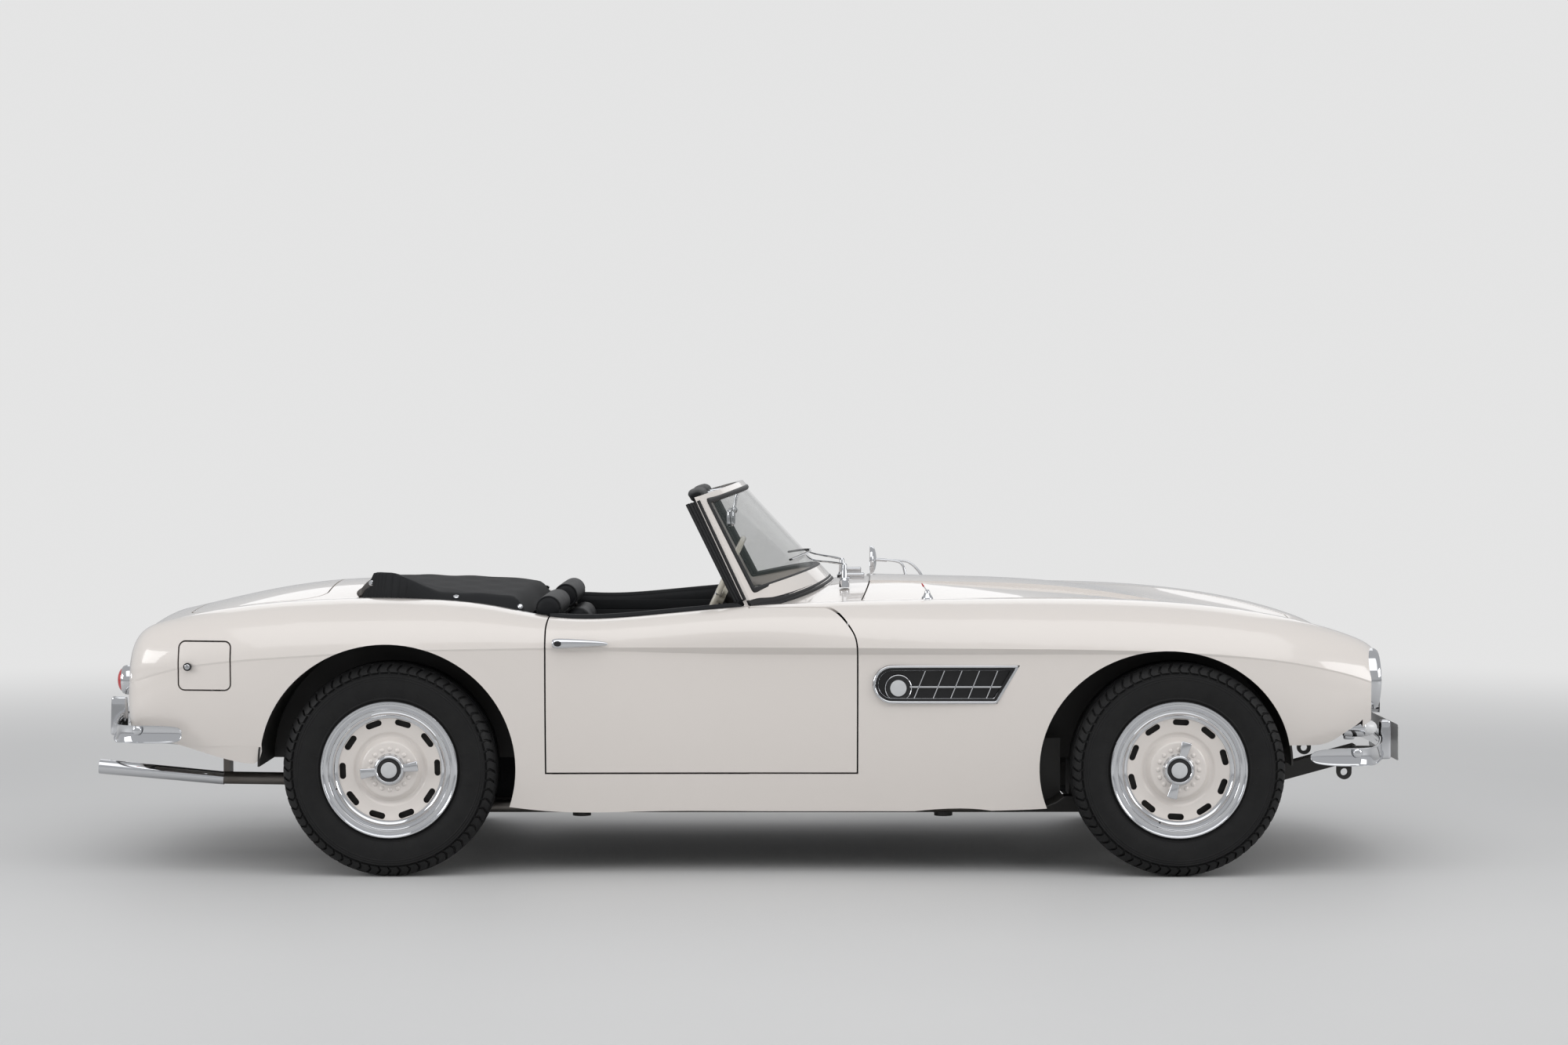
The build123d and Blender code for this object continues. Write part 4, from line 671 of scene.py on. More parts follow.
# ---------- tail lights
# Round red lamps on bright housings that lean out of the tail, the lens ringed inside and held
# by a bright rim.
TAIL_Y, TAIL_Z = 0.64, 0.61
HOUSING_RINGS = mm(
    (39.5, -1950), (45.5, -1968), (47.2, -1984), (46.5, -1996), (44, -2003.5), (41.5, -2005.5),
    (38.5, -2004), (38, -2000),
)
TAIL_LENS = mm(
    (38.8, -2001), (38.2, -2006), (35, -2011), (30, -2015), (28.5, -2014.6), (27, -2016.4),
    (20, -2019), (10, -2020.8), (POLE, -2021.3),
)
red_lens = Finish("red_lens", Roughness=0.12, Coat_Weight=1.0, Coat_Roughness=0.03)
red_lens.tone(50.0, (0.42, 0.008, 0.01), (0.55, 0.015, 0.015))
red_lens.bump(red_lens.bands("Z", 80.0), 0.0003, 0.5)
for housing in both_sides("tail_housing", HOUSING_RINGS, 64, chrome, TAIL_Y, TAIL_Z):
    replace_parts(housing, "tail_lights")
both_sides("tail_lens", TAIL_LENS, 64, red_lens, TAIL_Y, TAIL_Z)

# ---------- side vents
# Outlets for the engine's hot air, one in each front wing: a bright double-beaded frame, five
# slanted fins crossed by a level bar over a black well, and a plain round boss at the back.
VENT_FACE, VENT_WELL = 0.7955, 0.776
VENT_LOW, VENT_HIGH = 0.5465, 0.667
VENT_BACK, VENT_FRONT, VENT_SLANT = 0.379, 0.84, 0.071
VENT_BOSS = (0.459, 0.595)
VENT_ROUND = (0.013, 0.007)     # how the two front corners are rounded, the foot and the top
VENT_BAR_Z, VENT_BAR_X, VENT_BAR_HALF = 0.599, (0.495, 0.802), 0.0027
FIN_CROSSINGS = (0.523, 0.583, 0.638, 0.693, 0.75)
FIN_SLANT = 0.0385            # how far a fin leans forward between its two ends
FIN_LOW, FIN_HIGH, FIN_THICK = 0.5555, 0.65, 0.0034
FIN_IN = {"right": 0.0012, "left": 0.002}     # how far behind the frame's face the fins end
BEADS = [
    # how far inside the outline, how far out of the wing, radius
    (0.004, 0.0, 0.0046), (0.0145, -0.003, 0.003), (0.0095, -0.005, 0.0045),
]
BOSS_RINGS = mm((43, 780), (42.7, 790.5), (41.9, 793), (40.9, 793.6), (40, 792.8), (39.7, 790))
BOSS_DARK = mm((40.2, 789.5), (39.7, 791.5), (38, 792.6), (27, 793.6), (25.6, 793))
BOSS_DISC = mm((25.8, 792.5), (25.4, 794.2), (23, 795), (12, 795.6), (POLE, 795.8))


def curve(kind, points, cyclic=False):
    """A curve as an object. A fourth number at a point scales what is swept along it there."""
    shape = bpy.data.curves.new("curve", "CURVE")
    run = shape.splines.new(kind)
    run.points.add(len(points) - 1)
    for point, place in zip(run.points, points):
        point.co = (*place[:3], 1)
        point.radius = place[3] if len(place) > 3 else 1
    run.use_cyclic_u, run.use_endpoint_u = cyclic, not cyclic
    piece = bpy.data.objects.new("curve", shape)
    bpy.context.collection.objects.link(piece)
    return piece


def swept(points, steps, joined_within, cyclic=False, **section):
    """A section, swept along a smooth curve whose ends are closed."""
    piece = curve("NURBS", points, cyclic)
    shape = piece.data
    shape.dimensions, shape.twist_mode, shape.use_fill_caps = "3D", "Z_UP", not cyclic
    shape.splines[0].order_u, shape.splines[0].resolution_u = 3, steps
    for name, value in section.items():
        setattr(shape, name, value)
    choose(piece)
    bpy.ops.object.convert(target="MESH")
    face_outwards(joined_within)
    return bpy.context.object


def wire(points, radius, cyclic=False, sides=3, steps=6):
    """A round bar along a smooth curve."""
    return swept(points, steps, 0.000005, cyclic, bevel_depth=radius, bevel_resolution=sides)


def vent_outline(inset, y):
    """Points round the vent, inside its edge by a distance."""
    low, high = VENT_LOW + inset, VENT_HIGH - inset
    middle, half = (low + high) / 2, (high - low) / 2
    back = VENT_BACK + inset + half
    arc = [
        (back - half * sin(radians(turn)), y, middle + half * cos(radians(turn)))
        for turn in range(0, 181, 15)
    ]
    top = (VENT_FRONT - inset * 1.5, y, high)
    foot = (VENT_FRONT - VENT_SLANT - inset * 0.6, y, low)
    lean = (top[0] - foot[0]) / (high - low)
    return [
        *arc, ((back + foot[0]) / 2, y, low), (foot[0] - VENT_ROUND[0], y, low), (foot[0], y, low),
        (foot[0] + VENT_ROUND[0] * lean, y, low + VENT_ROUND[0]),
        (top[0] - VENT_ROUND[1] * lean, y, high - VENT_ROUND[1]),
        (top[0], y, high), (top[0] - VENT_ROUND[1], y, high), ((back + top[0]) / 2, y, high),
    ]


def rounded(points):
    """Cuts the corners of a closed row of points, as a smooth curve through it does."""
    for _ in range(2):
        pairs = [(Vector(a), Vector(b)) for a, b in zip(points, points[1:] + points[:1])]
        points = [tuple(place) for a, b in pairs for place in (a.lerp(b, 0.25), a.lerp(b, 0.75))]
    return points


def filled(points):
    """A flat sheet inside a closed row of points."""
    bpy.ops.object.select_all(action="DESELECT")
    bpy.ops.mesh.primitive_circle_add(vertices=len(points), radius=1, fill_type="NGON")
    piece = bpy.context.object
    for corner, place in zip(piece.data.vertices, points):
        corner.co = place
    return piece


for side, sign in SIDES.items():
    beads = []
    for inset, out, radius in BEADS:
        y = sign * (VENT_FACE + out)
        beads.append(wire(vent_outline(inset, y), radius, cyclic=True, steps=4))
    frame_piece = settle(join(*beads), f"vent_frame_{side}", chrome, angle=60)
    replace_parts(frame_piece, "side_vents")

    well = filled(rounded(vent_outline(0.004, sign * VENT_FACE)))
    with editing():
        bpy.ops.mesh.select_all(action="SELECT")
        bpy.ops.mesh.inset(thickness=0.012)
        bpy.ops.mesh.extrude_region_move(
            TRANSFORM_OT_translate={"value": (0, sign * (VENT_WELL - VENT_FACE), 0)}
        )
    finish_with(well, "SOLIDIFY", thickness=0.0008, offset=0)
    settle(well, f"vent_well_{side}", black_gloss)

    bars = []
    bar_low = (VENT_BAR_X[0], VENT_WELL, VENT_BAR_Z - VENT_BAR_HALF)
    bar_high = (VENT_BAR_X[1], VENT_FACE - 0.0012, VENT_BAR_Z + VENT_BAR_HALF)
    bars.append(beside(sign, bar_low, bar_high, bevel=0.0009, segments=2))
    for crossing in FIN_CROSSINGS:
        fin_low = (-FIN_THICK / 2, VENT_WELL, FIN_LOW)
        fin_high = (FIN_THICK / 2, VENT_FACE - FIN_IN[side], FIN_HIGH)
        fin = beside(sign, fin_low, fin_high, bevel=0.0008, segments=2)
        lean = FIN_SLANT / (FIN_HIGH - FIN_LOW)
        reshape(
            fin,
            lambda point: Vector(
                (crossing + point.x + lean * (point.z - VENT_BAR_Z), point.y, point.z)
            )
        )
        bars.append(fin)
    settle(join(*bars), f"vent_fins_{side}", chrome)

    boss_place = (VENT_BOSS[0], 0, VENT_BOSS[1])
    settle(turned(outward(BOSS_RINGS, sign), 64), f"vent_boss_{side}", chrome, place=boss_place)
    settle(
        turned(outward(BOSS_DARK, sign), 64), f"vent_boss_ring_{side}", black_gloss,
        place=boss_place,
    )
    settle(turned(outward(BOSS_DISC, sign), 48), f"vent_disc_{side}", plain_white, place=boss_place)

# ---------- door handles
# Pull-out handles cast as a teardrop and plated, on two short feet, with an oval push button let
# into the thick end.
HANDLE_RUN = [
    # x, z, share of the full thickness
    (-0.6283, 0.7362, 0.05), (-0.628, 0.7362, 0.55), (-0.624, 0.7362, 0.86), (-0.61, 0.7362, 1.0),
    (-0.59, 0.7364, 0.98), (-0.55, 0.7368, 0.82), (-0.51, 0.7368, 0.64), (-0.475, 0.7362, 0.48),
    (-0.46, 0.7352, 0.36), (-0.453, 0.7344, 0.22), (-0.4522, 0.7343, 0.05),
]
# of radius 1, to be drawn in to the button's oval
UNIT_BUTTON = mm((1000, 817), (970, 819.6), (800, 820.8), (400, 821.2), (POLE, 821.3))
HANDLE_RADIUS, HANDLE_Y, HANDLE_Z, HANDLE_FLAT = 0.0163, 0.808, 0.7362, 0.72
BUTTON_X, BUTTON_HALF = -0.609, (0.0125, 0.0088)
for side, sign in SIDES.items():
    grip = wire([(x, 0, z, share) for x, z, share in HANDLE_RUN], HANDLE_RADIUS, sides=6)
    reshape(grip, lambda point: Vector((point.x, sign * HANDLE_Y + point.y * HANDLE_FLAT, point.z)))
    feet = []
    for foot_x, foot_radius in ((-0.607, 0.012), (-0.478, 0.006)):
        rings = [
            (foot_radius * 1.25, 0.789), (foot_radius * 1.2, 0.7925), (foot_radius, 0.7945),
            (foot_radius, 0.808),
        ]
        foot = turned(outward(rings, sign), 32)
        carried(foot, (foot_x, 0, HANDLE_Z))
        feet.append(foot)
    grip = join(grip, *feet)
    settle(grip, f"door_pull_{side}", chrome, body=f"door_{side[0]}", angle=50)
    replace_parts(grip, f"handle_{side}")
    button = turned(outward(UNIT_BUTTON, sign), 40)
    oval = Matrix.Diagonal((BUTTON_HALF[0], 1, BUTTON_HALF[1]))
    reshape(button, lambda point: oval @ point + Vector((BUTTON_X, -sign * 0.0006, HANDLE_Z)))
    settle(button, f"door_button_{side}", black_gloss, body=f"door_{side[0]}")

# ---------- outer mirror
# A round, domed mirror head on the left wing, held up by two thin, arched legs with plated feet.
# Its glass faces back, to the driver.
MIRROR_Y, MIRROR_Z = 0.6, 0.943
MIRROR_HEAD = mm(
    (45, 410.5), (46, 406.8), (49.2, 407.2), (50, 411), (49.3, 415.5), (44, 421.5), (33, 426.2),
    (17, 429.2), (POLE, 430.2),
)
MIRROR_FACE = mm((45.5, 408.5), (30, 407.8), (POLE, 407.4))
mirror_glass = Finish(
    "mirror_glass", "bright_chrome", Metallic=1.0, Base_Color=(0.9, 0.91, 0.92, 1), Roughness=0.02
)
mirror_glass.feed("Roughness", mirror_glass.noise(30.0) * 0.02)
head_centre = (0, MIRROR_Y, MIRROR_Z)
head = lathe(MIRROR_HEAD, 64, centre=head_centre)
stalk = wire(
    [(0.424, MIRROR_Y, 0.943), (0.45, MIRROR_Y, 0.9425), (0.468, MIRROR_Y, 0.94)], 0.0062, sides=4
)
legs = []
for foot_x, rise in ((0.54, 0.012), (0.6, 0.014)):
    knee_x = (0.468 + foot_x) / 2
    leg = [
        (0.452, MIRROR_Y, 0.942, 0.8), (knee_x - 0.012, 0.598, 0.936 + rise * 0.3, 0.85),
        (knee_x + 0.02, 0.594, 0.918 + rise, 0.95), (foot_x - 0.006, 0.591, 0.888, 1.1),
        (foot_x, 0.59, 0.862, 1.2),
    ]
    legs.append(wire(leg, 0.0047, sides=4))
    foot_rings = mm((16.5, 853), (16.2, 869), (14, 872.5), (8.5, 876), (6, 884))
    legs.append(lathe(foot_rings, 32, towards=UP, centre=(foot_x, 0.59, 0)))
head = join(head, stalk, *legs)
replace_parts(settle(head, "wing_mirror", chrome), "mirror_outer")
settle(lathe(MIRROR_FACE, 48, centre=head_centre), "wing_mirror_glass", mirror_glass)

# ---------- antenna
# A retracted telescopic antenna: a plated cone on the right wing, a collar, the end of the rod
# and its red tip.
ANTENNA_PLACE = (0.5586, -0.59, 0)
ANTENNA_RINGS = mm(
    (17, 856), (18.8, 865), (18.6, 869), (15, 874), (11, 880), (8.8, 886), (8.6, 890.5), (6, 891.5),
    (5.8, 894.5), (3, 895.5), (POLE, 895.6),
)
cone = lathe(ANTENNA_RINGS, 48, towards=UP, centre=ANTENNA_PLACE)
rod = wire(mm((558, -590, 890), (550, -590, 901), (544, -590, 909)), 0.0016)
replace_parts(settle(join(cone, rod), "antenna_base", chrome), "antenna")
tip = wire(
    mm(
        (548, -590, 903.5, 0.5), (547.4, -590, 904.2, 1), (543, -590, 910.5, 1),
        (540.5, -590, 915, 0.6), (540.2, -590, 915.5, 0.1),
    ),
    0.0026, sides=4,
)
settle(tip, "antenna_tip", red_lens)

# ---------- windscreen
# A curved glass in a frame that is sprayed with the body. It sits in black rubber, with a rubber
# foot on the cowl and a ribbed rubber channel up the back of each pillar for the side windows.
SCREEN_LOW = (0.272, 0.9, 0.006, 0.83, 0.622)
SCREEN_HIGH = (-0.04, 1.236, -0.166, 1.196, 0.588)
SCREEN_EDGE = 0.028
GLASS_SHARE = (0.152, 0.939)
black_seal = Finish("black_seal", "tyre_rubber", Roughness=0.5, Specular_IOR_Level=0.4)
black_seal.tone(90.0, (0.007, 0.007, 0.008), (0.018, 0.018, 0.019), 3.0)


def screen(up, across, back=0.0):
    """A point on the windscreen's front, at a share of its height, moved back by a distance."""
    mid_x, mid_z, end_x, end_z, half = [
        low + up * (high - low)
        for low, high in zip(SCREEN_LOW, SCREEN_HIGH)
    ]
    run = Vector((end_x - mid_x, 0, end_z - mid_z))
    bow_radius = (half**2 + run.length**2) / (2 * run.length)
    sweep = bow_radius - sqrt(bow_radius**2 - min(across**2, bow_radius**2))
    return Vector((mid_x, across, mid_z)) + run.normalized() * (sweep + back)


def screen_half(up):
    """Half the windscreen's width, at a share of its height."""
    return SCREEN_LOW[4] + up * (SCREEN_HIGH[4] - SCREEN_LOW[4])


def screen_ring(back):
    """Points round the edge of the glass, back from its frame's face by a distance."""
    low, high = GLASS_SHARE
    steps = (0.0, 0.012, 0.17, 0.33, 0.5, 0.67, 0.83, 0.988, 1.0)
    edge = [(step, 1) for step in steps] + [(1, 1 - 2 * step) for step in steps[1:]]
    edge += [(1 - step, -1) for step in steps[1:]] + [(0, 2 * step - 1) for step in steps[1:-1]]
    ring = []
    for up, across in edge:
        share = low + (high - low) * up
        ring.append(screen(share, across * (screen_half(share) - SCREEN_EDGE), back))
    return ring


for name, back, radius in (("outside", 0.0045, 0.0098), ("inside", 0.017, 0.007)):
    ring = wire(screen_ring(back), radius, cyclic=True, sides=2, steps=4)
    settle(ring, f"screen_rubber_{name}", black_seal, angle=60)


def landing(start, direction, node):
    """Where a line from a point first meets a frame node."""
    meets, place, _, _ = nodes[node].ray_cast(Vector(start), Vector(direction).normalized())
    return place if meets else None


FOOT_BEADS = mm((0, 10.5), (11, 10), (20, 8.5))     # how far up the frame, radius
foot_line = []
for step in range(-24, 25):
    across = 0.6205 * step / 24
    start, low = screen(0.5, across, 0.01), screen(0.0, across, 0.01)
    place = landing(start, low - start, "front_body") or landing(start, low - start, "bonnet")
    foot_line.append((place or low, (start - low).normalized()))
foot_rubber = [
    wire([place + up_way * rise for place, up_way in foot_line], radius, steps=3)
    for rise, radius in FOOT_BEADS
]
settle(join(*foot_rubber), "screen_foot_rubber", black_seal, angle=60)

PILLAR_BEADS = [
    # how far back from the front of the frame, how far in from its side, radius
    (0.015, 0.001, 0.0055), (0.026, 0.006, 0.006), (0.037, 0.01, 0.006), (0.048, 0.012, 0.006),
    (0.059, 0.014, 0.006),
]
channels = []
for sign in (1, -1):
    for back, inset, radius in PILLAR_BEADS:
        shares = (0.1, 0.3, 0.5, 0.7, 0.9, 0.965)
        run = [screen(up, sign * (screen_half(up) - inset), back) for up in shares]
        base = landing(run[1], run[0] - run[1], "front_body")
        if base:
            run[0] = base
        channels.append(wire(run, radius, steps=3))
settle(join(*channels), "pillar_channels", black_seal, angle=60)

# ---------- wipers
# Two wipers that pivot in plated posts in the cowl, each with a horizontal spring boss, a thin
# arm and a rubber blade that rests along the foot of the glass. A washer jet stands between.
WIPER_Y = (-0.33, 0.11)
POST_RINGS = mm(
    (17, 890), (16.5, 912), (13, 916), (10.5, 922), (10, 940), (8.5, 952), (8.5, 962), (6, 968),
    (POLE, 970),
)
BOSS_TUBE = mm(
    (POLE, 296), (6, 297), (6.8, 301), (6.8, 352), (7.4, 354), (7.4, 361), (5, 363.5), (POLE, 364),
)
wiper_steel, blades = [], []
for pivot_y in WIPER_Y:
    wiper_steel.append(lathe(POST_RINGS, 32, towards=UP, centre=(0.298, pivot_y, 0)))
    for shift_y, z in ((0.0, 0.931), (0.017, 0.922)):
        wiper_steel.append(lathe(BOSS_TUBE, 24, centre=(0, pivot_y + shift_y, z)))
    mid_place = screen(0.235, pivot_y + 0.075, -0.02)
    tip_place = screen(0.285, pivot_y + 0.12, -0.015)
    arm = [
        (0.298, pivot_y, 0.964, 1.5), (0.278, pivot_y + 0.016, 0.97, 1.3),
        (*mid_place, 1.0), (*tip_place, 0.8),
    ]
    wiper_steel.append(wire(arm, 0.0028))
    for strips, back, radius in ((wiper_steel, -0.012, 0.0022), (blades, -0.0055, 0.0038)):
        run = [
            screen(0.29, pivot_y + along, back)
            for along in (-0.02, 0.04, 0.1, 0.16, 0.22, 0.25)
        ]
        strips.append(wire(run, radius, sides=2))
JET_RINGS = mm((9, 880), (8.8, 908), (6, 911), (4.5, 920), (6.2, 922), (5.8, 927), (POLE, 929))
wiper_steel.append(lathe(JET_RINGS, 24, towards=UP, centre=(0.3, -0.11, 0)))
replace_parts(settle(join(*wiper_steel), "wiper_arms", chrome), "wipers")
settle(join(*blades), "wiper_blades", black_seal)

# ---------- bumpers and plates
# Plated spring-steel blades that wrap the corners, with a rolled top and foot and a crease between,
# two over-riders each, black brackets to the chassis, and blank number plates.
BLADE_FRONT = [
    # x, y, share of the full height, from one end to the middle
    (1.753, 0.8015, 0.15), (1.757, 0.803, 0.5), (1.782, 0.8035, 0.8), (1.84, 0.801, 1.0),
    (1.942, 0.793, 1.0), (1.975, 0.715, 1.0), (2.009, 0.6, 1.0), (2.044, 0.45, 1.0),
    (2.0685, 0.3, 1.0), (2.0831, 0.15, 1.0),
]
BLADE_REAR = [
    (-1.79, 0.802, 0.2), (-1.7915, 0.803, 0.62), (-1.808, 0.8035, 0.88), (-1.86, 0.802, 1.0),
    (-1.985, 0.793, 1.0), (-2.018, 0.705, 1.0), (-2.0394, 0.6, 1.0), (-2.0652, 0.45, 1.0),
    (-2.0835, 0.3, 1.0), (-2.0944, 0.15, 1.0),
]
BLADE_SECTION = [
    # outwards, upwards, as shares of half the height
    (-0.2, 1.0), (0.02, 1.0), (0.2, 0.93), (0.31, 0.78), (0.35, 0.55), (0.34, 0.3), (0.3, 0.12),
    (0.24, 0.04), (0.26, -0.1), (0.26, -0.55), (0.22, -0.8), (0.12, -0.94), (-0.02, -1.0),
    (-0.2, -1.0), (-0.2, -0.9), (0.0, -0.88), (0.1, -0.7), (0.14, 0.0), (0.2, 0.6), (0.08, 0.88),
    (-0.2, 0.9),
]


def blade(half_run, middle_x, z, half_height):
    """A bumper blade: its section, carried round the plan of the car's corner and back."""
    plan = [
        *half_run, (middle_x, 0.0, 1.0), *[(x, -y, share) for x, y, share in reversed(half_run)]
    ]
    half = half_height if middle_x > 0 else -half_height
    section = curve(
        "POLY", [(out * half, up * half_height, 0) for out, up in BLADE_SECTION], cyclic=True
    )
    run = [(x, y, z, share) for x, y, share in plan]
    piece = swept(run, 8, 0.00001, bevel_mode="OBJECT", bevel_object=section)
    bpy.data.objects.remove(section)
    return piece


def over_rider(x_low, x_high, y, z_low, z_high):
    """A rounded upright on a bumper, slimmer towards its top."""
    piece = block((x_low, y - 0.019, z_low), (x_high, y + 0.019, z_high))
    with editing():
        pick("faces", lambda middle: middle.z > z_high - 0.001)
        bpy.ops.transform.resize(
            value=(0.72, 0.66, 1), center_override=((x_low + x_high) / 2, y, z_high)
        )
        pick("faces", lambda middle: middle.z < z_low + 0.001)
        bpy.ops.transform.resize(
            value=(0.8, 0.78, 1), center_override=((x_low + x_high) / 2, y, z_low)
        )
        bpy.ops.mesh.select_all(action="SELECT")
        bpy.ops.mesh.bevel(offset=0.0095, segments=3, affect="EDGES")
    return finish_with(piece, "SUBSURF", levels=1, render_levels=1)


BOLT_RINGS = mm((15, -4), (15, 1), (13, 4), (8, 6.5), (POLE, 7.2))
front_parts = [
    blade(BLADE_FRONT, 2.088, 0.3785, 0.0285), over_rider(2.047, 2.1, 0.33, 0.324, 0.455),
    over_rider(2.047, 2.1, -0.33, 0.324, 0.455),
]
rear_parts = [
    blade(BLADE_REAR, -2.098, 0.45, 0.028), over_rider(-2.134, -2.06, 0.26, 0.396, 0.526),
    over_rider(-2.134, -2.06, -0.26, 0.396, 0.526),
]
for sign in (1, -1):
    front_parts.append(
        lathe(BOLT_RINGS, 32, towards=(0.03, sign, 0), centre=(1.9, sign * 0.8035, 0.392))
    )
    rear_parts.append(
        lathe(BOLT_RINGS, 32, towards=(-0.03, sign, 0), centre=(-1.93, sign * 0.803, 0.463))
    )
front_bumper = settle(join(*front_parts), "front_bumper", chrome, angle=50)
settle(join(*rear_parts), "rear_bumper", chrome, angle=50)
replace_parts(front_bumper, "bumpers")

chassis_black = Finish("chassis_black", "black_paint", Roughness=0.45)
chassis_grime = chassis_black.noise(9.0, 5.0)
chassis_black.tone(chassis_grime, (0.01, 0.01, 0.011), (0.04, 0.037, 0.033))
chassis_black.feed("Roughness", chassis_grime * 0.4 + 0.3)
RAIL_Y = 0.4
CORNER_STAYS = [
    mm((1960, 395, 372), (1930, 560, 384), (1915, 720, 392), (1905, 796, 392)),
    mm((-1930, 395, 440), (-1960, 560, 455), (-1945, 720, 463), (-1935, 796, 463)),
]
brackets = []
for sign in (1, -1):
    low, high = RAIL_Y - 0.02, RAIL_Y + 0.02
    brackets += [
        beside(sign, (1.9605, low, 0.344), (2.044, high, 0.374), bevel=0.004),
        beside(sign, (-2.066, low, 0.41), (-1.9305, high, 0.438), bevel=0.004),
        beside(sign, (2.086, 0.108, 0.368), (2.1303, 0.132, 0.392), bevel=0.003),
    ]
    brackets += [wire([(x, sign * y, z) for x, y, z in stay], 0.0075) for stay in CORNER_STAYS]
settle(join(*brackets), "bumper_brackets", chassis_black)

plate_paint = Finish("plate_paint", "plate_white", Roughness=0.35)
plate_paint.tone(12.0, (0.7, 0.7, 0.69), (0.64, 0.64, 0.63))
PLATES = [
    # name, x of the back, x of the face, z from, z to
    ("front", 2.131, 2.134, 0.312, 0.431), ("rear", -2.0283, -2.0313, 0.5, 0.612),
]
for name, back_x, face_x, z_low, z_high in PLATES:
    plate = block((back_x, -0.26, z_low), (face_x, 0.26, z_high))
    with editing():
        pick(
            "edges",
            lambda middle: abs(middle.y) > 0.259
            and min(middle.z - z_low, z_high - middle.z) < 0.001,
        )
        bpy.ops.mesh.bevel(offset=0.01, segments=4, affect="EDGES")
        pick("faces", lambda middle: abs(middle.x - face_x) < 0.0001)
        bpy.ops.mesh.inset(thickness=0.0045)
        bpy.ops.mesh.inset(thickness=0.001)
        bpy.ops.transform.translate(value=(-0.0012 if face_x > back_x else 0.0012, 0, 0))
    plate = settle(plate, f"plate_{name}", plate_paint)
    if name == "front":
        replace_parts(plate, "number_plates")

# ---------- nose grilles
# Two plated grilles in the nose, each a rim round upright slats, with black wire mesh behind. The
# rims and slats are the frame's own and take their finish further down.
mesh_dark = Finish("grille_mesh", "black_paint", Roughness=0.6)
mesh_wires = mesh_dark.node(
    "ShaderNodeTexVoronoi", {"distance": "CHEBYCHEV"},
    {"Vector": mesh_dark.place(), "Scale": 140.0, "Randomness": 0.0},
)
mesh_dark.tone(mesh_wires > 0.4, (0.002, 0.002, 0.002), (0.03, 0.03, 0.031))
MESH_X, NOSE_SWEEP = 2.06, radians(10.0)
for side, sign in SIDES.items():
    mesh_panel = block((-0.004, 0.036, 0.49), (-0.002, 0.414, 0.604))
    with editing():
        pick(
            "edges",
            lambda middle: min(abs(middle.y - 0.036), abs(middle.y - 0.414)) < 0.001
            and min(abs(middle.z - 0.49), abs(middle.z - 0.604)) < 0.001,
        )
        bpy.ops.mesh.bevel(offset=0.047, segments=6, affect="EDGES")
    reshape(
        mesh_panel,
        lambda point: Vector((
            MESH_X + point.x - point.y * sin(NOSE_SWEEP), sign * point.y * cos(NOSE_SWEEP), point.z
        )),
    )
    if sign < 0:
        face_outwards()
    settle(mesh_panel, f"grille_mesh_{side}", mesh_dark)

# ---------- seats
# Two seats in black leather: a sprung cushion and a leaning back, each sewn into pleats down its
# middle, and a stuffed roll along the top of the back with piping round its ends.
leather = Finish("black_leather", Roughness=0.5, Specular_IOR_Level=0.22)
leather.tone(6.0, (0.006, 0.0066, 0.0076), (0.014, 0.015, 0.017), 3.0)
leather.feed("Roughness", leather.noise(35.0, 3.0) * 0.16 + 0.46)
leather_grain = leather.node(
    "ShaderNodeTexVoronoi", inputs={"Vector": leather.place(), "Scale": 420.0}
)
leather.bump(leather_grain, 0.0005, 0.5)

SEAT_MIDDLE, SEAT_HALF = 0.398, 0.232
CUSHION_X, CUSHION_Z = (-0.56, -0.137), (0.3, 0.418)
CUSHION_RISE = 0.03 / 0.45     # upwards, for each metre forwards
BACK_FOOT, BACK_TOP = (-0.56, 0.4), (-0.618, 0.8)      # x, z of the middle of the back
BACK_THICK = 0.072
PLEAT_PITCH, PLEAT_DEEP, PLEAT_SIGMA = 0.046, 0.006, 0.0042
PLEATED_HALF = 0.15
ROLL_PLACE = (-0.652, 0.836)


def stuffed(piece, voxel, cap, pressure=4.0):
    """Swells a closed form as filling does, by a cloth simulation whose travel is capped."""
    finish_with(piece, "REMESH", mode="VOXEL", voxel_size=voxel)
    rest = [point.co.copy() for point in piece.data.vertices]
    cloth = piece.modifiers.new("filling", "CLOTH")
    cloth.settings.use_pressure = True
    cloth.settings.uniform_pressure_force = pressure
    cloth.settings.effector_weights.gravity = 0
    for frame_number in range(1, 21):
        bpy.context.scene.frame_set(frame_number)
    choose(piece)
    bpy.ops.object.modifier_apply(modifier="filling")
    bpy.context.scene.frame_set(1)
    for point, start in zip(piece.data.vertices, rest):
        moved = point.co - start
        if moved.length > cap:
            point.co = start + moved.normalized() * cap
    finish_with(piece, "SMOOTH", factor=0.5, iterations=4)
    return finish_with(piece, "SUBSURF", levels=1, render_levels=1)


def pleated(point, middle_y, outward_way):
    """Sews channels into a padded face, level at its borders."""
    across = point.y - middle_y
    if abs(across) > PLEATED_HALF:
        return point
    nearest = round(across / PLEAT_PITCH) * PLEAT_PITCH
    sunk = PLEAT_DEEP * exp(-(((across - nearest) / PLEAT_SIGMA) ** 2) / 2)
    return point - outward_way * sunk


def seat_block(x, z, inside, bevel):
    """A rounded block across the left seat, inside its sides by a distance."""
    half = SEAT_HALF - inside
    return block((x[0], SEAT_MIDDLE - half, z[0]), (x[1], SEAT_MIDDLE + half, z[1]), bevel)


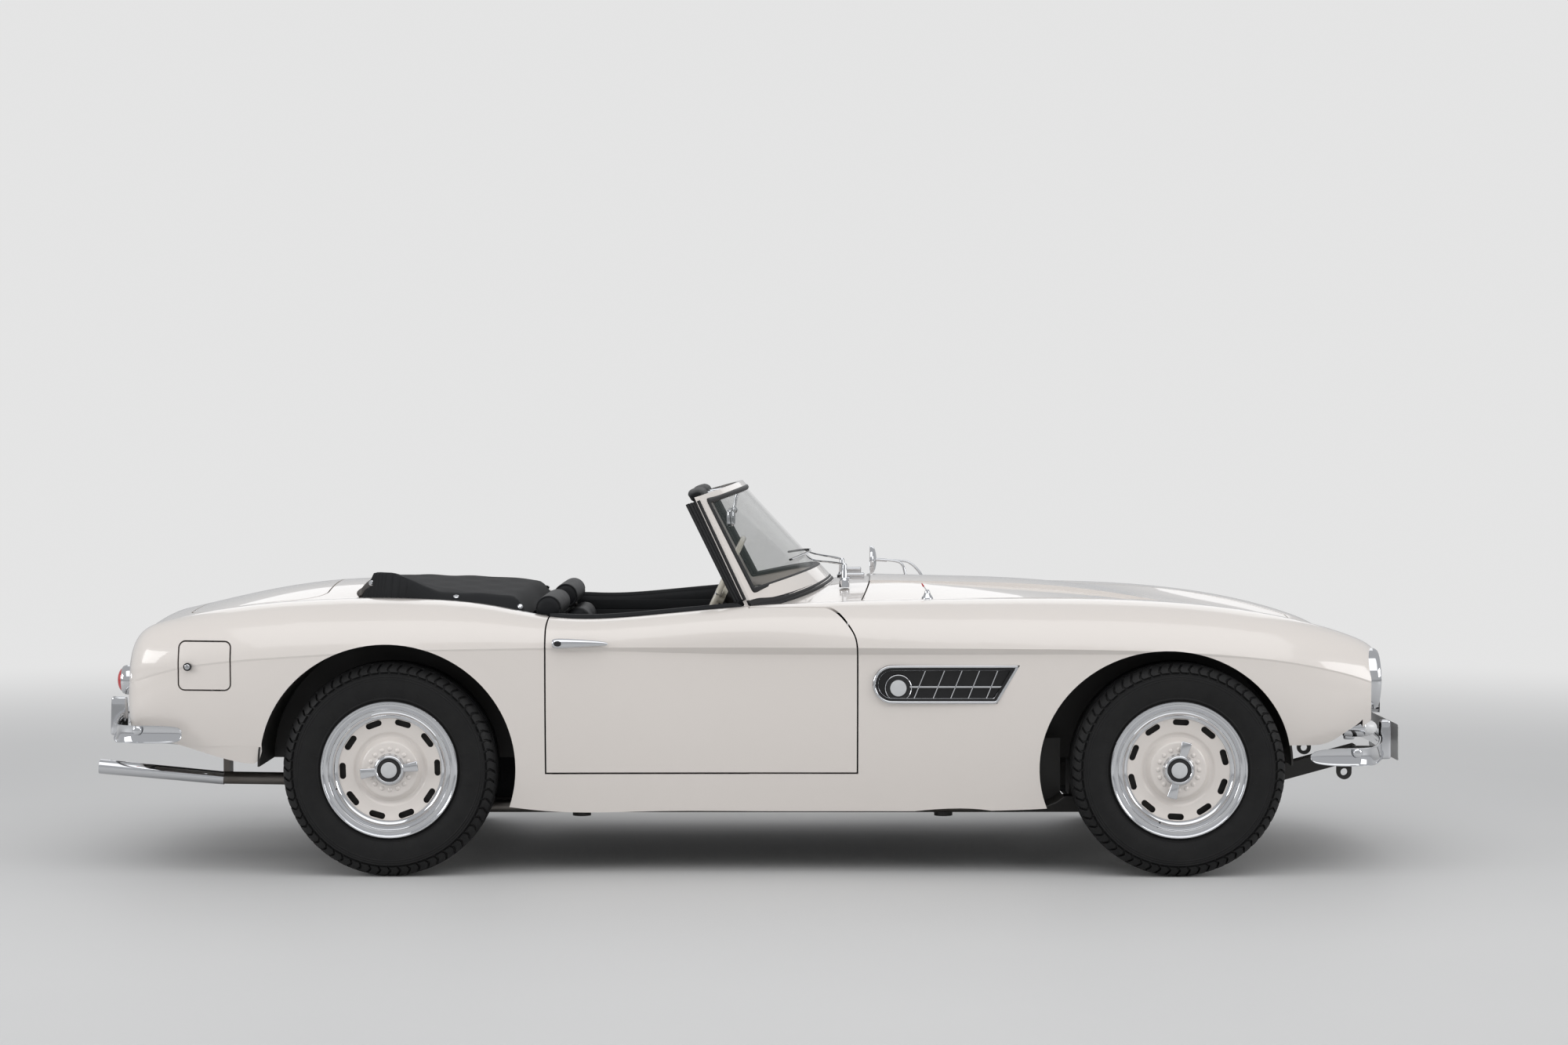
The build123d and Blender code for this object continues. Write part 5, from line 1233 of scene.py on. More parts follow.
cushion = seat_block(CUSHION_X, CUSHION_Z, 0.012, 0.03)
reshape(
    cushion,
    lambda point: Vector((*point.xy, point.z + CUSHION_RISE * (point.x - CUSHION_X[0]))),
)
stuffed(cushion, 0.0085, 0.012)
reshape(
    cushion,
    lambda point: pleated(point, SEAT_MIDDLE, Vector(UP))
    if point.z > 0.4 and CUSHION_X[0] < point.x < CUSHION_X[1] - 0.033 else point,
)
lean = Vector((BACK_TOP[0] - BACK_FOOT[0], 0, BACK_TOP[1] - BACK_FOOT[1]))
back = seat_block((-BACK_THICK / 2, BACK_THICK / 2), (0.0, lean.length), 0.012, 0.026)
stuffed(back, 0.0085, 0.01)
ahead = Vector((1, 0, 0))
reshape(
    back,
    lambda point: pleated(point, SEAT_MIDDLE, ahead)
    if point.x > 0.018 and 0.03 < point.z < lean.length - 0.05 else point,
)
back_turn = Matrix.Rotation(atan2(lean.x, lean.z), 3, "Y")


def lean_back(point):
    """Carries a point of the upright back to its place in the leaning one."""
    return back_turn @ point + Vector((BACK_FOOT[0], 0, BACK_FOOT[1]))


reshape(back, lean_back)
roll_rings = mm(
    (POLE, -228), (20, -227.5), (35, -224), (40, -217), (41, -200), (41.5, 0), (41, 200), (40, 217),
    (35, 224), (20, 227.5), (POLE, 228),
)
roll = turned(roll_rings, 48)
carried(roll, (ROLL_PLACE[0], SEAT_MIDDLE, ROLL_PLACE[1]))
piping = []
for along in (-0.2225, 0.2225):
    ring = [
        (
            ROLL_PLACE[0] + 0.0392 * cos(radians(turn)), SEAT_MIDDLE + along,
            ROLL_PLACE[1] + 0.0392 * sin(radians(turn)),
        )
        for turn in range(0, 360, 30)
    ]
    piping.append(wire(ring, 0.0028, cyclic=True, sides=2, steps=3))
base = seat_block((-0.6, -0.15), (0.2225, 0.32), 0.02, 0.018)
shell = seat_block((-0.064, -0.03), (-0.06, lean.length - 0.02), 0.016, 0.012)
reshape(shell, lean_back)
SEAT_PARTS = [
    ("cushion", cushion, 0.8), ("back", back, 0.8), ("roll", join(roll, *piping), 1.0),
    ("shell", join(base, shell), None),
]
for part_name, part, fill in SEAT_PARTS:
    for side, sign in SIDES.items():
        piece = part if sign > 0 else copied(part)
        if sign < 0:
            reshape(piece, lambda point: Vector((point.x, point.y - 2 * SEAT_MIDDLE, point.z)))
        settle(piece, f"seat_{part_name}_{side}", leather, angle=60)
        if part_name == "cushion" and sign > 0:
            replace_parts(piece, "seats")

# ---------- cockpit cover
# The folded roof under its cover: one sheet of black cloth, stretched over the well behind the
# seats with its middle sagging a little, held down by plated studs along its edge.
cover_cloth = Finish("cover_cloth", Roughness=0.8, Specular_IOR_Level=0.3)
cover_cloth.tone(900.0, (0.008, 0.0085, 0.0095), (0.02, 0.021, 0.023))
weave = cover_cloth.node(
    "ShaderNodeTexVoronoi", {"distance": "CHEBYCHEV"},
    {"Vector": cover_cloth.place(), "Scale": 600.0, "Randomness": 0.2},
)
cover_cloth.bump(weave, 0.0004, 0.6)
COVER_X, COVER_HALF = (-1.274, -0.718), 0.602
COVER_STEPS = (46, 96)
COVER_THICK, COVER_WAVE, COVER_SAG = 0.0025, 0.002, 0.0008
# how far in from its edge it turns down, and to what height at its front
COVER_TUCK, COVER_FRONT_FOOT = 0.058, 0.812
bpy.ops.object.select_all(action="DESELECT")
bpy.ops.mesh.primitive_grid_add(
    x_subdivisions=COVER_STEPS[0], y_subdivisions=COVER_STEPS[1], size=1
)
cover = bpy.context.object
cover.scale = (COVER_X[1] - COVER_X[0], 2 * COVER_HALF, 1)
cover.location = ((COVER_X[0] + COVER_X[1]) / 2, 0, 1.2)
bpy.ops.object.transform_apply(location=True, rotation=True, scale=True)
off_cover = []
for point in cover.data.vertices:
    place = landing(point.co, (0, 0, -1), "cockpit_cover")
    if place:
        x, y = point.co.xy
        wave = COVER_WAVE * sin(x * 41 + 3 * y) * cos(y * 17 - x * 9)
        point.co.z = place.z + wave - COVER_SAG
    else:
        off_cover.append(point.index)
with editing():
    bpy.ops.mesh.select_mode(type="VERT")
    bpy.ops.mesh.select_all(action="DESELECT")
for index in off_cover:
    cover.data.vertices[index].select = True
with editing():
    bpy.ops.mesh.delete(type="VERT")
finish_with(cover, "SMOOTH", factor=0.5, iterations=3)
with editing():
    bpy.ops.mesh.select_all(action="DESELECT")
    bpy.ops.mesh.select_non_manifold()
cover_rim = []
for point in cover.data.vertices:
    if point.select:
        way = Vector((-1, 0, 0)) if point.co.x < COVER_X[0] + 0.02 else Vector(
            (0, 1 if point.co.y > 0 else -1, 0)
        )
        low = landing(Vector((*point.co.xy, 1.2)) + way * 0.012, (0, 0, -1), "rear_body")
        reach = COVER_TUCK * min(1.0, max(0.3, (point.co.x + 1.19) / 0.17))
        foot = COVER_FRONT_FOOT if point.co.x > COVER_X[1] - 0.01 or not low else low.z
        cover_rim.append((point.co.copy(), foot, reach))


def tucked(point):
    """Rounds the cover down to what lies beside its edge."""
    near, foot, reach = min(cover_rim, key=lambda rim: (rim[0].xy - point.xy).length_squared)
    share = max(0.0, 1 - (near.xy - point.xy).length / reach)
    return Vector((*point.xy, point.z - max(0.0, point.z - foot + 0.002) * share**2.2))


reshape(cover, tucked)
finish_with(cover, "SOLIDIFY", thickness=COVER_THICK, offset=-1)
settle(cover, "hood_cover", cover_cloth, angle=60)
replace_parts(cover, "cockpit_cover")

STUD_RINGS = mm((9, -1), (8.8, 1.5), (6, 3), (5, 4.2), (POLE, 4.6))
STUDS_SEEN = [
    # x, y, z of the start of a line, and the sign of its run across the car; a zero looks down
    (-1.233, -1.0, 0.911, 1), (-0.952, -1.0, 0.871, 1), (-0.745, -1.0, 0.84, 1),
    (-1.1, 0.575, 1.2, 0), (-0.952, 0.575, 1.2, 0), (-0.745, 0.575, 1.2, 0),
]
bpy.context.view_layer.update()
cover_studs = []
for x, y, z, run_sign in STUDS_SEEN:
    run = Vector((0, run_sign, 0)) if run_sign else -Vector(UP)
    _, place, normal, _ = cover.ray_cast(Vector((x, y, z)), run)
    cover_studs.append(lathe(STUD_RINGS, 24, towards=normal, centre=place))
studs_piece = settle(join(*cover_studs), "cover_studs", chrome)

# ---------- door and cockpit trim
# Leather panels over card on each door's inner face, stitched round their edge, a padded rail
# along the top of the door, a latch plate, a window winder, and carpet on the floor and tunnel.
TRIM_X, TRIM_Z = (-0.63, 0.25), (0.35, 0.8)
TRIM_Y = (0.656, 0.6685)
RAIL_X, RAIL_STEPS = (-0.642, 0.322), 24
WINDER_BOSS = mm((16, -4), (16, 6), (10, 10), (8, 16), (POLE, 17))
WINDER_ARM = mm((-130, 645, 600, 1.3), (-165, 640, 585, 1.0), (-205, 640, 565, 0.9))
WINDER_GRIP = mm((POLE, -2), (9, 0), (11, 10), (9, 22), (POLE, 25))
OPENER_BOSS = mm((20, -4), (20, 4), (12, 8), (POLE, 9))
OPENER_ARM = mm((60, 647, 700, 1.2), (20, 642, 704, 1.0), (-30, 642, 700, 0.9))
for side, sign in SIDES.items():
    door = f"door_{side[0]}"
    panel = beside(sign, *zip(TRIM_X, TRIM_Y, TRIM_Z), bevel=0.005)
    with editing():
        pick("faces", lambda middle: abs(middle.y - sign * TRIM_Y[0]) < 0.0002)
        bpy.ops.mesh.inset(thickness=0.03)
        bpy.ops.mesh.inset(thickness=0.003)
        bpy.ops.transform.translate(value=(0, sign * 0.002, 0))
        bpy.ops.mesh.inset(thickness=0.003)
        bpy.ops.transform.translate(value=(0, -sign * 0.002, 0))
    pocket = beside(sign, (-0.42, 0.64, 0.38), (0.12, 0.657, 0.52), bevel=0.007)
    settle(join(panel, pocket), f"door_trim_{side}", leather, body=door)

    rail = []
    for step in range(RAIL_STEPS + 1):
        x = RAIL_X[0] + (RAIL_X[1] - RAIL_X[0]) * step / RAIL_STEPS
        tops = [
            landing((x, sign * y, 1.2), (0, 0, -1), f"door_{side}")
            for y in (0.672, 0.68, 0.69)
        ]
        tops = [place for place in tops if place]
        if tops:
            rail.append((x, sign * 0.6775, max(place.z for place in tops) + 0.001, 1.0))
    roll = wire(rail, 0.0125, sides=4, steps=3)
    band = wire([(x, 0, z - 0.027) for x, _, z, _ in rail], 0.027, sides=4, steps=3)
    reshape(band, lambda point: Vector((point.x, sign * 0.664 + point.y * 0.28, point.z)))
    settle(join(roll, band), f"door_rail_{side}", leather, body=door, angle=60)

    inwards = (0, -sign, 0)
    levers = [
        lathe(WINDER_BOSS, 32, inwards, (-0.13, sign * 0.656, 0.6)),
        wire([(x, sign * y, z, share) for x, y, z, share in WINDER_ARM], 0.0052),
        lathe(WINDER_GRIP, 24, inwards, (-0.205, sign * 0.64, 0.565)),
        lathe(OPENER_BOSS, 32, inwards, (0.06, sign * 0.656, 0.7)),
        wire([(x, sign * y, z, share) for x, y, z, share in OPENER_ARM], 0.0048),
    ]
    settle(join(*levers), f"door_levers_{side}", chrome, body=door)
    latch = beside(sign, (-0.6475, 0.69, 0.64), (-0.644, 0.72, 0.72), bevel=0.0015)
    bolt = beside(sign, (-0.6478, 0.698, 0.668), (-0.64, 0.712, 0.692), bevel=0.003)
    settle(join(latch, bolt), f"door_latch_{side}", chrome, body=door)

carpet = Finish("black_carpet", Roughness=0.95, Specular_IOR_Level=0.2)
carpet.tone(500.0, (0.006, 0.006, 0.007), (0.026, 0.026, 0.028))
carpet.bump(carpet.noise(700.0, 2.0), 0.0012, 0.8)
dress(carpet, "floor_pan")

# ---------- dashboard
# A steel panel sprayed with the body, with a padded leather brow, a large speedometer and
# tachometer, two small gauges, pull knobs and a grab handle.
DASH_FACE_X = -0.034
DIALS = [
    # y, z, radius
    (0.455, 0.79, 0.05), (0.305, 0.79, 0.05), (0.0, 0.8, 0.029), (-0.085, 0.8, 0.029),
]
KNOB_RINGS = mm((7, -3), (4.5, 4), (4.5, 12), (11, 15), (12, 21), (8, 26), (POLE, 27))
KNOB_Y, KNOB_Z = (0.205, 0.16, 0.115, 0.0, -0.06, 0.545), 0.735
dial_face = Finish("dial_face", "black_paint", Roughness=0.3)
dial_face.tone(30.0, (0.012, 0.012, 0.013), (0.02, 0.02, 0.021))
ivory = Finish("ivory_plastic", "cream_paint", Roughness=0.25, Coat_Weight=0.5)
ivory.tone(9.0, (0.7, 0.66, 0.56), (0.64, 0.6, 0.5), 3.0)
rims, faces, marks = [], [], []
for y, z, radius in DIALS:
    centre = (DASH_FACE_X, y, z)
    rims.append(
        lathe(
            [
                (radius, -0.004), (radius, 0.003), (radius * 0.96, 0.006), (radius * 0.88, 0.005),
                (radius * 0.87, 0.001),
            ],
            48, towards=(-1, 0, 0), centre=centre,
        )
    )
    faces.append(
        lathe(
            [(radius * 0.9, 0.0), (radius * 0.88, 0.0022), (POLE / 1000, 0.0024)], 48,
            towards=(-1, 0, 0), centre=centre,
        )
    )
    ticks = 13 if radius > 0.04 else 5
    for count in range(ticks):
        turn = -135 + 270 * count / (ticks - 1)
        tick = block(
            (DASH_FACE_X - 0.003, -0.0008, radius * 0.68),
            (DASH_FACE_X - 0.0024, 0.0008, radius * 0.82),
        )
        marks.append(carried(tick, (0, y, z), turn, "X"))
    hand = block(
        (DASH_FACE_X - 0.0042, -0.001, -radius * 0.15), (DASH_FACE_X - 0.0034, 0.001, radius * 0.66)
    )
    marks.append(carried(hand, (0, y, z), -128, "X"))
for y in KNOB_Y:
    rims.append(lathe(KNOB_RINGS, 24, towards=(-1, 0, 0), centre=(DASH_FACE_X, y, KNOB_Z)))
rims.append(
    wire(
        [
            (DASH_FACE_X + 0.004, -0.22, 0.77), (DASH_FACE_X - 0.04, -0.225, 0.77),
            (DASH_FACE_X - 0.044, -0.36, 0.77), (DASH_FACE_X - 0.04, -0.495, 0.77),
            (DASH_FACE_X + 0.004, -0.5, 0.77),
        ],
        0.0065, sides=4,
    )
)
settle(join(*rims), "dash_brightwork", chrome)
settle(join(*faces), "dial_faces", dial_face)
settle(join(*marks), "dial_marks", ivory)
brow_places = mm(
    (-36, 619, 852), (-46, 600, 859.5), (-46, 300, 862), (-46, -300, 862), (-46, -600, 859.5),
    (-36, -619, 852),
)
settle(wire(brow_places, 0.013, sides=5, steps=10), "dash_brow", leather, angle=60)

# ---------- steering wheel
# A large wheel with an ivory rim moulded on steel, three ivory spokes, a bright horn ring and a
# plain horn button, all on the tilted column.
HELM = Vector((-0.129, 0.38, 0.84))
HELM_TILT = radians(25.0)
HELM_RADIUS, HELM_GRIP = 0.205, 0.0105
helm_axis = Vector((-cos(HELM_TILT), 0, sin(HELM_TILT)))
helm_turn = helm_axis.to_track_quat("Y", "Z").to_matrix()


def on_helm(piece):
    """Carries a piece that is modelled about the Y axis onto the steering wheel's axis."""
    reshape(piece, lambda point: helm_turn @ point + HELM)
    return piece


rim_points = [
    (
        HELM_RADIUS * cos(radians(turn)), 0, HELM_RADIUS * sin(radians(turn)),
        1.0 if turn % 10 else 0.93,
    )
    for turn in range(0, 360, 5)
]
helm_rim = wire(rim_points, HELM_GRIP, cyclic=True, sides=5, steps=3)
spokes = []
for turn in (0, 180, 270):
    spoke = mm((18, -12, 0, 1.5), (70, -13, 0, 1.25), (140, -8, 0, 1.0), (200, 0, 0, 1.1))
    rib = wire(spoke, 0.009, sides=4)
    reshape(rib, lambda point: Vector((point.x, point.y * 0.6 - 0.003, point.z * 1.25)))
    spokes.append(swung(rib, turn))
hub_cup = turned(mm((36, -30), (37, -10), (34, 0), (30, 3), (26, 3.5)), 48)
helm_piece = on_helm(join(helm_rim, *spokes, hub_cup))
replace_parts(settle(helm_piece, "helm_rim", ivory, body="helm", angle=60), "steering_wheel")
horn = wire(
    [(0.11 * cos(radians(turn)), 0.004, 0.11 * sin(radians(turn))) for turn in range(0, 360, 20)],
    0.0034, cyclic=True, steps=3,
)
stays = [
    swung(wire(mm((24, -2, 0), (70, 2, 0), (109, 4, 0)), 0.0028, sides=2), turn)
    for turn in (45, 135, 225, 315)
]
button = turned(mm((26.5, 3), (26, 6), (20, 9), (10, 10.5), (POLE, 11)), 40)
settle(on_helm(join(horn, *stays, button)), "horn_ring", chrome, body="helm")

# ---------- gear lever and pedals
# A cranked gear lever in a leather boot on the tunnel, a handbrake beside it, and three pedals
# with ribbed rubber pads.
lever = [
    wire(
        mm((70, 0, 398, 1.4), (60, 0, 470, 1.1), (10, 10, 540, 1.0), (-30, 15, 600, 0.9)), 0.0062,
        sides=4,
    ),
    wire(
        mm((-230, 70, 402, 1.2), (-180, 70, 425, 1.1), (-80, 70, 450, 1.2), (-40, 70, 462, 1.2)),
        0.0085, sides=4,
    ),
]
settle(join(*lever), "gear_lever", chrome)
knob = lathe(
    mm((POLE, -4), (9, 0), (16, 10), (19, 22), (16, 34), (8, 41), (POLE, 43)), 32,
    towards=(-0.35, 0.04, 0.93), centre=(-0.028, 0.0147, 0.592),
)
settle(knob, "gear_knob", ivory)
boot = lathe(
    mm((55, 399.5), (52, 408), (40, 418), (36, 430), (26, 438), (22, 450), (12, 456)), 40,
    towards=UP, centre=(0.07, 0, 0),
)
settle(boot, "gear_boot", leather, angle=60)
pads = []
for y, width in ((0.3, 0.026), (0.4, 0.026), (0.49, 0.02)):
    pad = block((-0.006, y - width, -0.03), (0.006, y + width, 0.03), bevel=0.004)
    for count in range(4):
        rib_z = -0.021 + 0.014 * count
        pad = join(
            pad,
            block(
                (-0.009, y - width + 0.006, rib_z - 0.0025),
                (-0.005, y + width - 0.006, rib_z + 0.0025), bevel=0.001, segments=2,
            )
        )
    pads.append(carried(pad, (0.42, 0, 0.33), -40))
    pads.append(wire([(0.426, y, 0.334, 1), (0.5, y, 0.38, 1), (0.6, y, 0.52, 1)], 0.007))
settle(join(*pads), "pedals", black_seal)

# ---------- visors and inner mirror
# Two padded visors in black leather cloth on plated pins, and a plated mirror that hangs from
# the top rail of the windscreen.
VISOR_Y, VISOR_SHARE, VISOR_BACK = (0.078, 0.512), (0.945, 1.065), (0.0245, 0.08)
VISOR_END = 0.5             # where the straight visor comes to the bowed rail
VISOR_CUTS = 18
pins = []
for side, sign in SIDES.items():
    visor = block((0, 0, 0), (1, 1, 1))
    with editing():
        bpy.ops.mesh.select_all(action="SELECT")
        bpy.ops.mesh.subdivide(number_cuts=VISOR_CUTS)

    def lie(point):
        """Sends a corner of a unit block to its place in the visor: along, back and up."""
        bulge = (1 - (2 * point.x - 1) ** 4) ** 0.5 if 0 < point.x < 1 else 0.0
        across = sign * (VISOR_Y[0] + point.x * (VISOR_Y[1] - VISOR_Y[0]))
        depth = 0.5 + (point.y - 0.5) * (0.55 + 0.45 * bulge)
        rise = 0.5 + (point.z - 0.5) * (0.45 + 0.55 * bulge) * (1 - 0.55 * (2 * point.y - 1) ** 4)
        share = VISOR_SHARE[0] + rise * (VISOR_SHARE[1] - VISOR_SHARE[0])
        place = screen(share, VISOR_END, VISOR_BACK[0] + depth * (VISOR_BACK[1] - VISOR_BACK[0]))
        return Vector((place.x, across, place.z))

    reshape(visor, lie)
    if sign < 0:
        face_outwards()
    finish_with(visor, "SMOOTH", factor=0.5, iterations=6)
    settle(visor, f"visor_{side}", leather, angle=60)
    if sign > 0:
        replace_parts(visor, "sun_visors")
    for across in (0.16, 0.44):
        foot, end = screen(0.97, across, 0.018), screen(1.0, VISOR_END, 0.04)
        pins.append(
            wire(
                [
                    (foot.x, sign * across, foot.z),
                    ((foot.x + end.x) / 2, sign * across, (foot.z + end.z) / 2 - 0.004),
                    (end.x, sign * across, end.z),
                ],
                0.0045,
            )
        )
settle(join(*pins), "visor_pins", chrome)
mirror_case = block((-0.092, -0.105, 1.082), (-0.066, 0.105, 1.14), bevel=0.01, segments=4)
stem = wire(mm((-72, 0, 1120), (-66, 0, 1160), (-54, 0, 1205), (-50, 0, 1224)), 0.0055, sides=4)
ball = lathe(
    mm((POLE, -12), (8, -9), (12, 0), (8, 9), (POLE, 12)), 24, centre=(-0.068, 0, 1.135), towards=UP
)
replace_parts(settle(join(mirror_case, stem, ball), "cabin_mirror", chrome), "mirror_inner")

# ---------- exhaust tips and filler lock
# Plated tips pushed over the two tail pipes, open at the back, and the small plated lock in the
# fuel flap.
TIP_RINGS = mm(
    (21, -16), (22.3, 184), (23.1, 314), (23.7, 384), (23.7, 388), (22, 388.5), (21.5, 379),
    (21.5, 284),
)
TIP_FROM, TIP_TO, TIP_Y = Vector((-1.725, 0, 0.282)), Vector((-2.107, 0, 0.318)), 0.5
for side, sign in SIDES.items():
    centre = (TIP_FROM.x, sign * TIP_Y, TIP_FROM.z)
    tip = lathe(TIP_RINGS, 48, towards=TIP_TO - TIP_FROM, centre=centre)
    settle(tip, f"exhaust_tip_{side}", chrome)
LOCK_PLACE = (-1.77, 0, 0.663)
lock = turned(outward(mm((8.2, 800), (8.2, 811.2), (6.6, 812.4), (POLE, 812.6)), -1), 32)
slot_cut = block((-0.0008, -0.8135, -0.004), (0.0008, -0.8118, 0.004), bevel=0.0003, segments=1)
settle(join(lock, slot_cut), "filler_lock", chrome, body="fuel_flap", place=LOCK_PLACE)
lock_ring = turned(outward(mm((12.8, 800), (12.6, 809.5), (11.8, 810.4), (8, 810)), -1), 40)
settle(lock_ring, "filler_lock_ring", black_gloss, body="fuel_flap", place=LOCK_PLACE)

# ---------- plain frame pieces
# What the frame already has in its real shape keeps it, and takes its real finish here: the
# chassis in satin black, the engine in cast iron, the exhaust in heat-stained steel.
dress(
    chassis_black, "chassis_frame", "wheelhouses", "front_axle", "rear_axle", "steering_column",
    "knuckle_right", "knuckle_left",
)

dress(cast_iron, "engine_block")

stained_steel = Finish("stained_steel", Metallic=0.9, Roughness=0.35)
stained_steel.tone(7.0, (0.22, 0.21, 0.2), (0.1, 0.085, 0.07), 4.0)
dress(stained_steel, "exhausts")
dress(chrome, "nose_grilles")
dress(enamel, "windshield_frame", "dashboard")

screen_glass = Finish(
    "screen_glass", Base_Color=(0.05, 0.07, 0.065, 1), Roughness=0.02, Alpha=0.16, Coat_Weight=0.4
)
screen_glass.feed("Roughness", screen_glass.noise(40.0) * 0.02)
dress(screen_glass, "windshield_glass")

# ---------- wing skirts and splash plates
# The cream skirt under each rear wing, from the lower edge of the body down to the foot of the
# wheel arch, and a folded black plate that closes each front arch behind its wheel.
SKIRT = [
    # x, z of the top, y of the top, z of the foot
    (-1.9, 0.437, 0.733, 0.433), (-1.85, 0.432, 0.744, 0.423), (-1.8, 0.424, 0.751, 0.411),
    (-1.75, 0.419, 0.758, 0.396), (-1.7, 0.416, 0.764, 0.38), (-1.65, 0.418, 0.771, 0.366),
    (-1.6, 0.419, 0.7765, 0.356), (-1.57, 0.419, 0.779, 0.354), (-1.552, 0.416, 0.7795, 0.366),
    (-1.543, 0.42, 0.781, 0.395),
]
SKIRT_ROWS, SKIRT_TUMBLE = 5, 0.3
SPLASH = mm(
    # x, z of the lower edge
    (905, 212), (930, 216), (960, 228), (984, 245),
)
SPLASH_Y, SPLASH_TOP = 0.598, 0.42
for side, sign in SIDES.items():
    bpy.ops.object.select_all(action="DESELECT")
    bpy.ops.mesh.primitive_grid_add(
        x_subdivisions=len(SKIRT) - 1, y_subdivisions=SKIRT_ROWS, size=1
    )
    skirt = bpy.context.object

    def hang(point):
        """Sends a corner of a unit grid to its place under the wing."""
        x, top, y, foot = SKIRT[round((point.x + 0.5) * (len(SKIRT) - 1))]
        drop = (point.y + 0.5) * (top - foot)
        return Vector((x, sign * (y - SKIRT_TUMBLE * drop), top - drop))

    reshape(skirt, hang)
    face_outwards()
    finish_with(skirt, "SOLIDIFY", thickness=0.0024, offset=0)
    settle(skirt, f"wing_skirt_{side}", enamel, angle=60)

    plates = []
    for (x, z), (next_x, next_z) in zip(SPLASH, SPLASH[1:]):
        rise = (next_z - z) / (next_x - x)
        floor_plate = beside(sign, (x, SPLASH_Y, 0), (next_x, 0.745, 0.003))
        reshape(floor_plate, lambda point: Vector((*point.xy, point.z + z + (point.x - x) * rise)))
        wall = beside(sign, (x, SPLASH_Y, 0), (next_x, SPLASH_Y + 0.003, 1))
        reshape(
            wall,
            lambda point: Vector(
                (*point.xy, SPLASH_TOP - (1 - point.z) * (SPLASH_TOP - z - (point.x - x) * rise))
            )
        )
        plates += [floor_plate, wall]
    settle(join(*plates), f"splash_plate_{side}", chassis_black)

# ---------- engine bay
# What stands on and before the engine: two ribbed alloy rocker covers, a round air cleaner on its
# intake with the distributor cap behind it, a fan on its pulley, and a radiator of black steel.
cast_alloy = Finish("cast_alloy", "engine_iron", Metallic=0.9, Roughness=0.35)
cast_alloy.tone(20.0, (0.5, 0.5, 0.51), (0.34, 0.34, 0.35), 3.0)
cast_alloy.bump(cast_alloy.noise(220.0, 2.0), 0.0002, 0.4)
radiator_core = Finish("radiator_core", "black_paint", Metallic=0.5, Roughness=0.5)
core_fins = radiator_core.bands("Z", 90.0)
radiator_core.tone(core_fins, (0.006, 0.006, 0.006), (0.06, 0.058, 0.054))
radiator_core.bump(core_fins, 0.001, 0.6)
ENGINE_TOP = 0.705
ROCKER_FROM, ROCKER_TO, ROCKER_TOP = (0.77, 0.19), (1.23, 0.335), 0.768
ROCKER_RIBS, RIB_PITCH = 9, 0.05
ROCKER_NUT, ROCKER_NUT_X = mm((13, -2), (13, 5), (8, 10), (POLE, 11)), (0.875, 1.125)
for side, sign in SIDES.items():
    (low_x, low_y), (high_x, high_y) = ROCKER_FROM, ROCKER_TO
    rocker = beside(
        sign, (low_x, low_y, ENGINE_TOP - 0.005), (high_x, high_y, ROCKER_TOP), bevel=0.016,
        segments=4,
    )
    ribs = []
    for count in range(ROCKER_RIBS):
        x = low_x + 0.03 + RIB_PITCH * count
        rib_low = (x - 0.004, low_y + 0.022, ROCKER_TOP - 0.004)
        ribs.append(
            beside(sign, rib_low, (x + 0.004, high_y - 0.022, ROCKER_TOP + 0.005), bevel=0.0015)
        )
    settle(join(rocker, *ribs), f"rocker_cover_{side}", cast_alloy)
    nut_y = sign * (low_y + high_y) / 2
    nuts = [lathe(ROCKER_NUT, 24, UP, (x, nut_y, ROCKER_TOP)) for x in ROCKER_NUT_X]
    settle(join(*nuts), f"rocker_nuts_{side}", chrome)

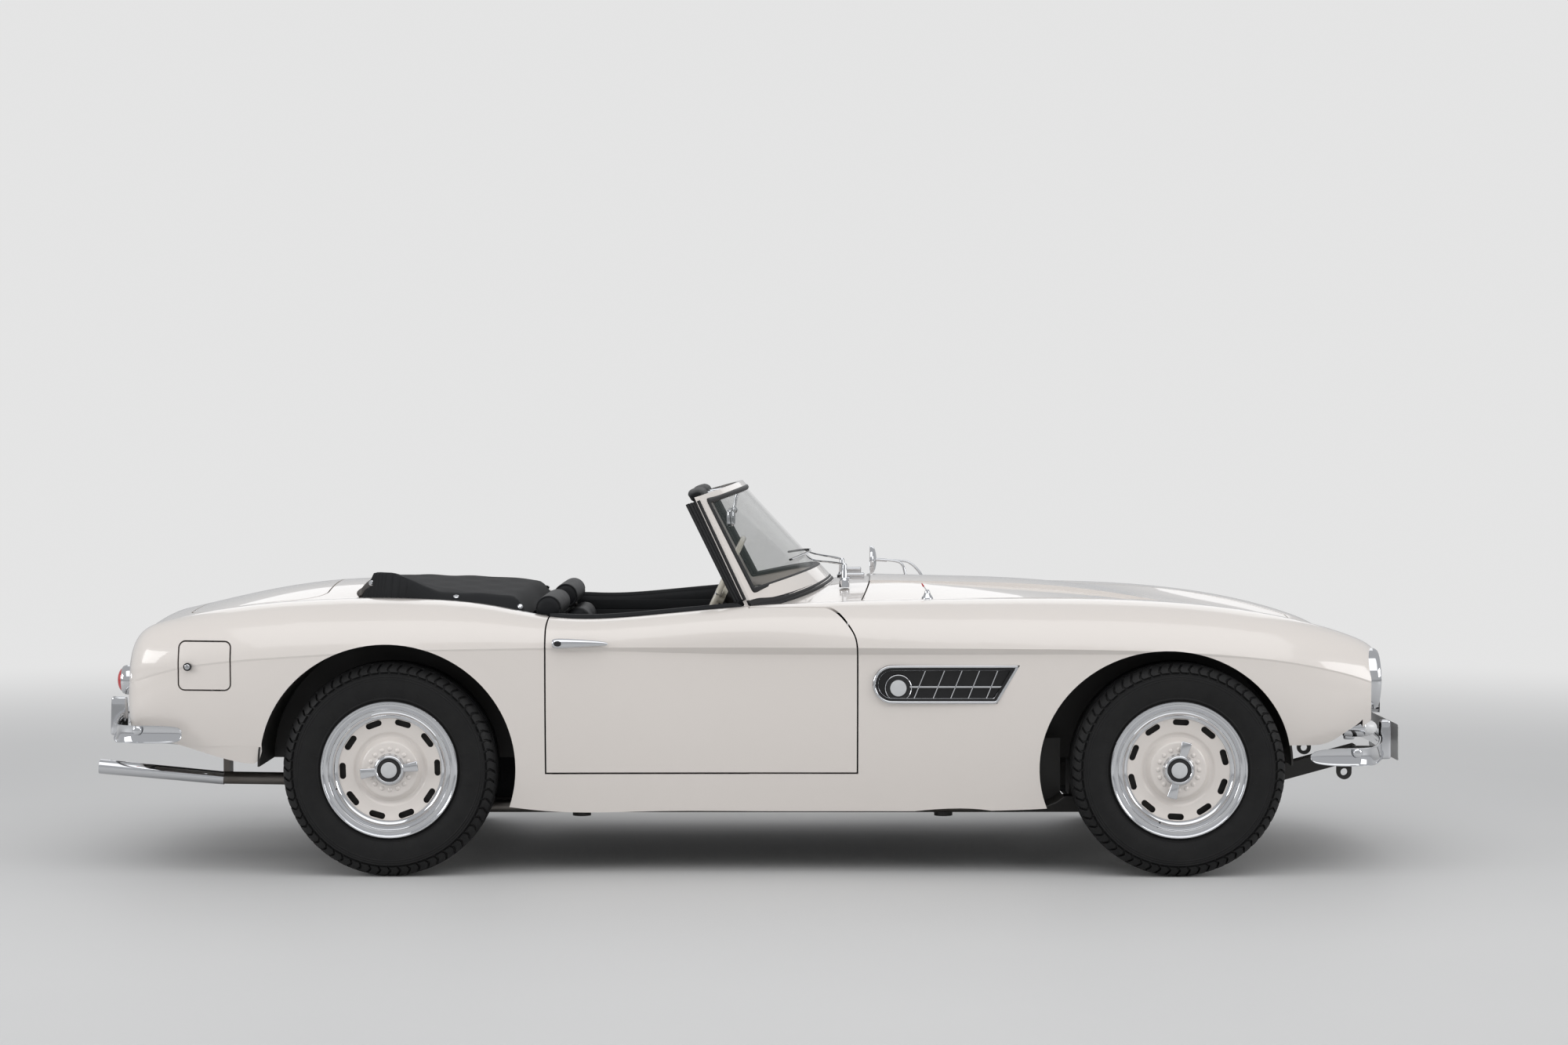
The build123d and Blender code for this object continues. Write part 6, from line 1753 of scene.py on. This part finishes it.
cleaner_rings = mm(
    (58, 700), (60, 734), (112, 740), (120, 746), (120, 786), (115, 793), (40, 797), (30, 795),
    (12, 796), (POLE, 797),
)
cleaner = lathe(cleaner_rings, 72, towards=UP, centre=(1.0, 0, 0))
snorkel = block((1.09, -0.034, 0.748), (1.215, 0.034, 0.784), bevel=0.012, segments=4)
cap = lathe(
    mm((30, 700), (30, 735), (36, 740), (36, 760), (28, 770), (POLE, 772)), 40, towards=UP,
    centre=(0.8, 0, 0),
)
settle(join(cleaner, snorkel, cap), "air_cleaner", black_gloss)
band = lathe(
    mm((119.5, 760), (121.2, 763), (121.2, 769), (119.5, 772)), 72, towards=UP, centre=(1.0, 0, 0)
)
wing_nut = block((0.978, -0.003, 0.796), (1.022, 0.003, 0.808), bevel=0.0025)
settle(join(band, wing_nut), "cleaner_band", chrome)

FAN_PLACE, FAN_REACH, FAN_BLADES, FAN_PITCH = (1.303, 0, 0.64), 0.112, 4, 28
fan_parts = [
    lathe(
        mm((52, 0), (56, 4), (50, 9), (56, 14), (52, 18), (20, 20), (POLE, 21)), 48,
        centre=(1.279, 0, FAN_PLACE[2]),
    )
]
for count in range(FAN_BLADES):
    fan_blade = block((-0.0012, 0.012, -0.02), (0.0012, FAN_REACH, 0.02), bevel=0.0008, segments=2)
    swung(fan_blade, FAN_PITCH, "Y")
    fan_parts.append(carried(fan_blade, FAN_PLACE, 360 / FAN_BLADES * count + 20, "X"))
settle(join(*fan_parts), "engine_fan", cast_alloy)
core = block((1.522, -0.24, 0.398), (1.572, 0.24, 0.692), bevel=0.003)
settle(core, "radiator_core", radiator_core)
tanks = [
    block((1.51, -0.25, 0.686), (1.584, 0.25, 0.736), bevel=0.014, segments=4),
    block((1.51, -0.25, 0.364), (1.584, 0.25, 0.404), bevel=0.014, segments=4),
]
for sign in (1, -1):
    tanks.append(beside(sign, (1.514, 0.24, 0.372), (1.58, 0.256, 0.73), bevel=0.003))
    tanks.append(beside(sign, (1.536, 0.25, 0.384), (1.558, 0.392, 0.41), bevel=0.004))
settle(join(*tanks), "radiator_tanks", black_gloss)
filler = lathe(
    mm((18, 730), (18, 740), (24, 742), (25, 750), (22, 755), (POLE, 756)), 40, towards=UP,
    centre=(1.547, -0.12, 0),
)
settle(filler, "radiator_cap", chrome)
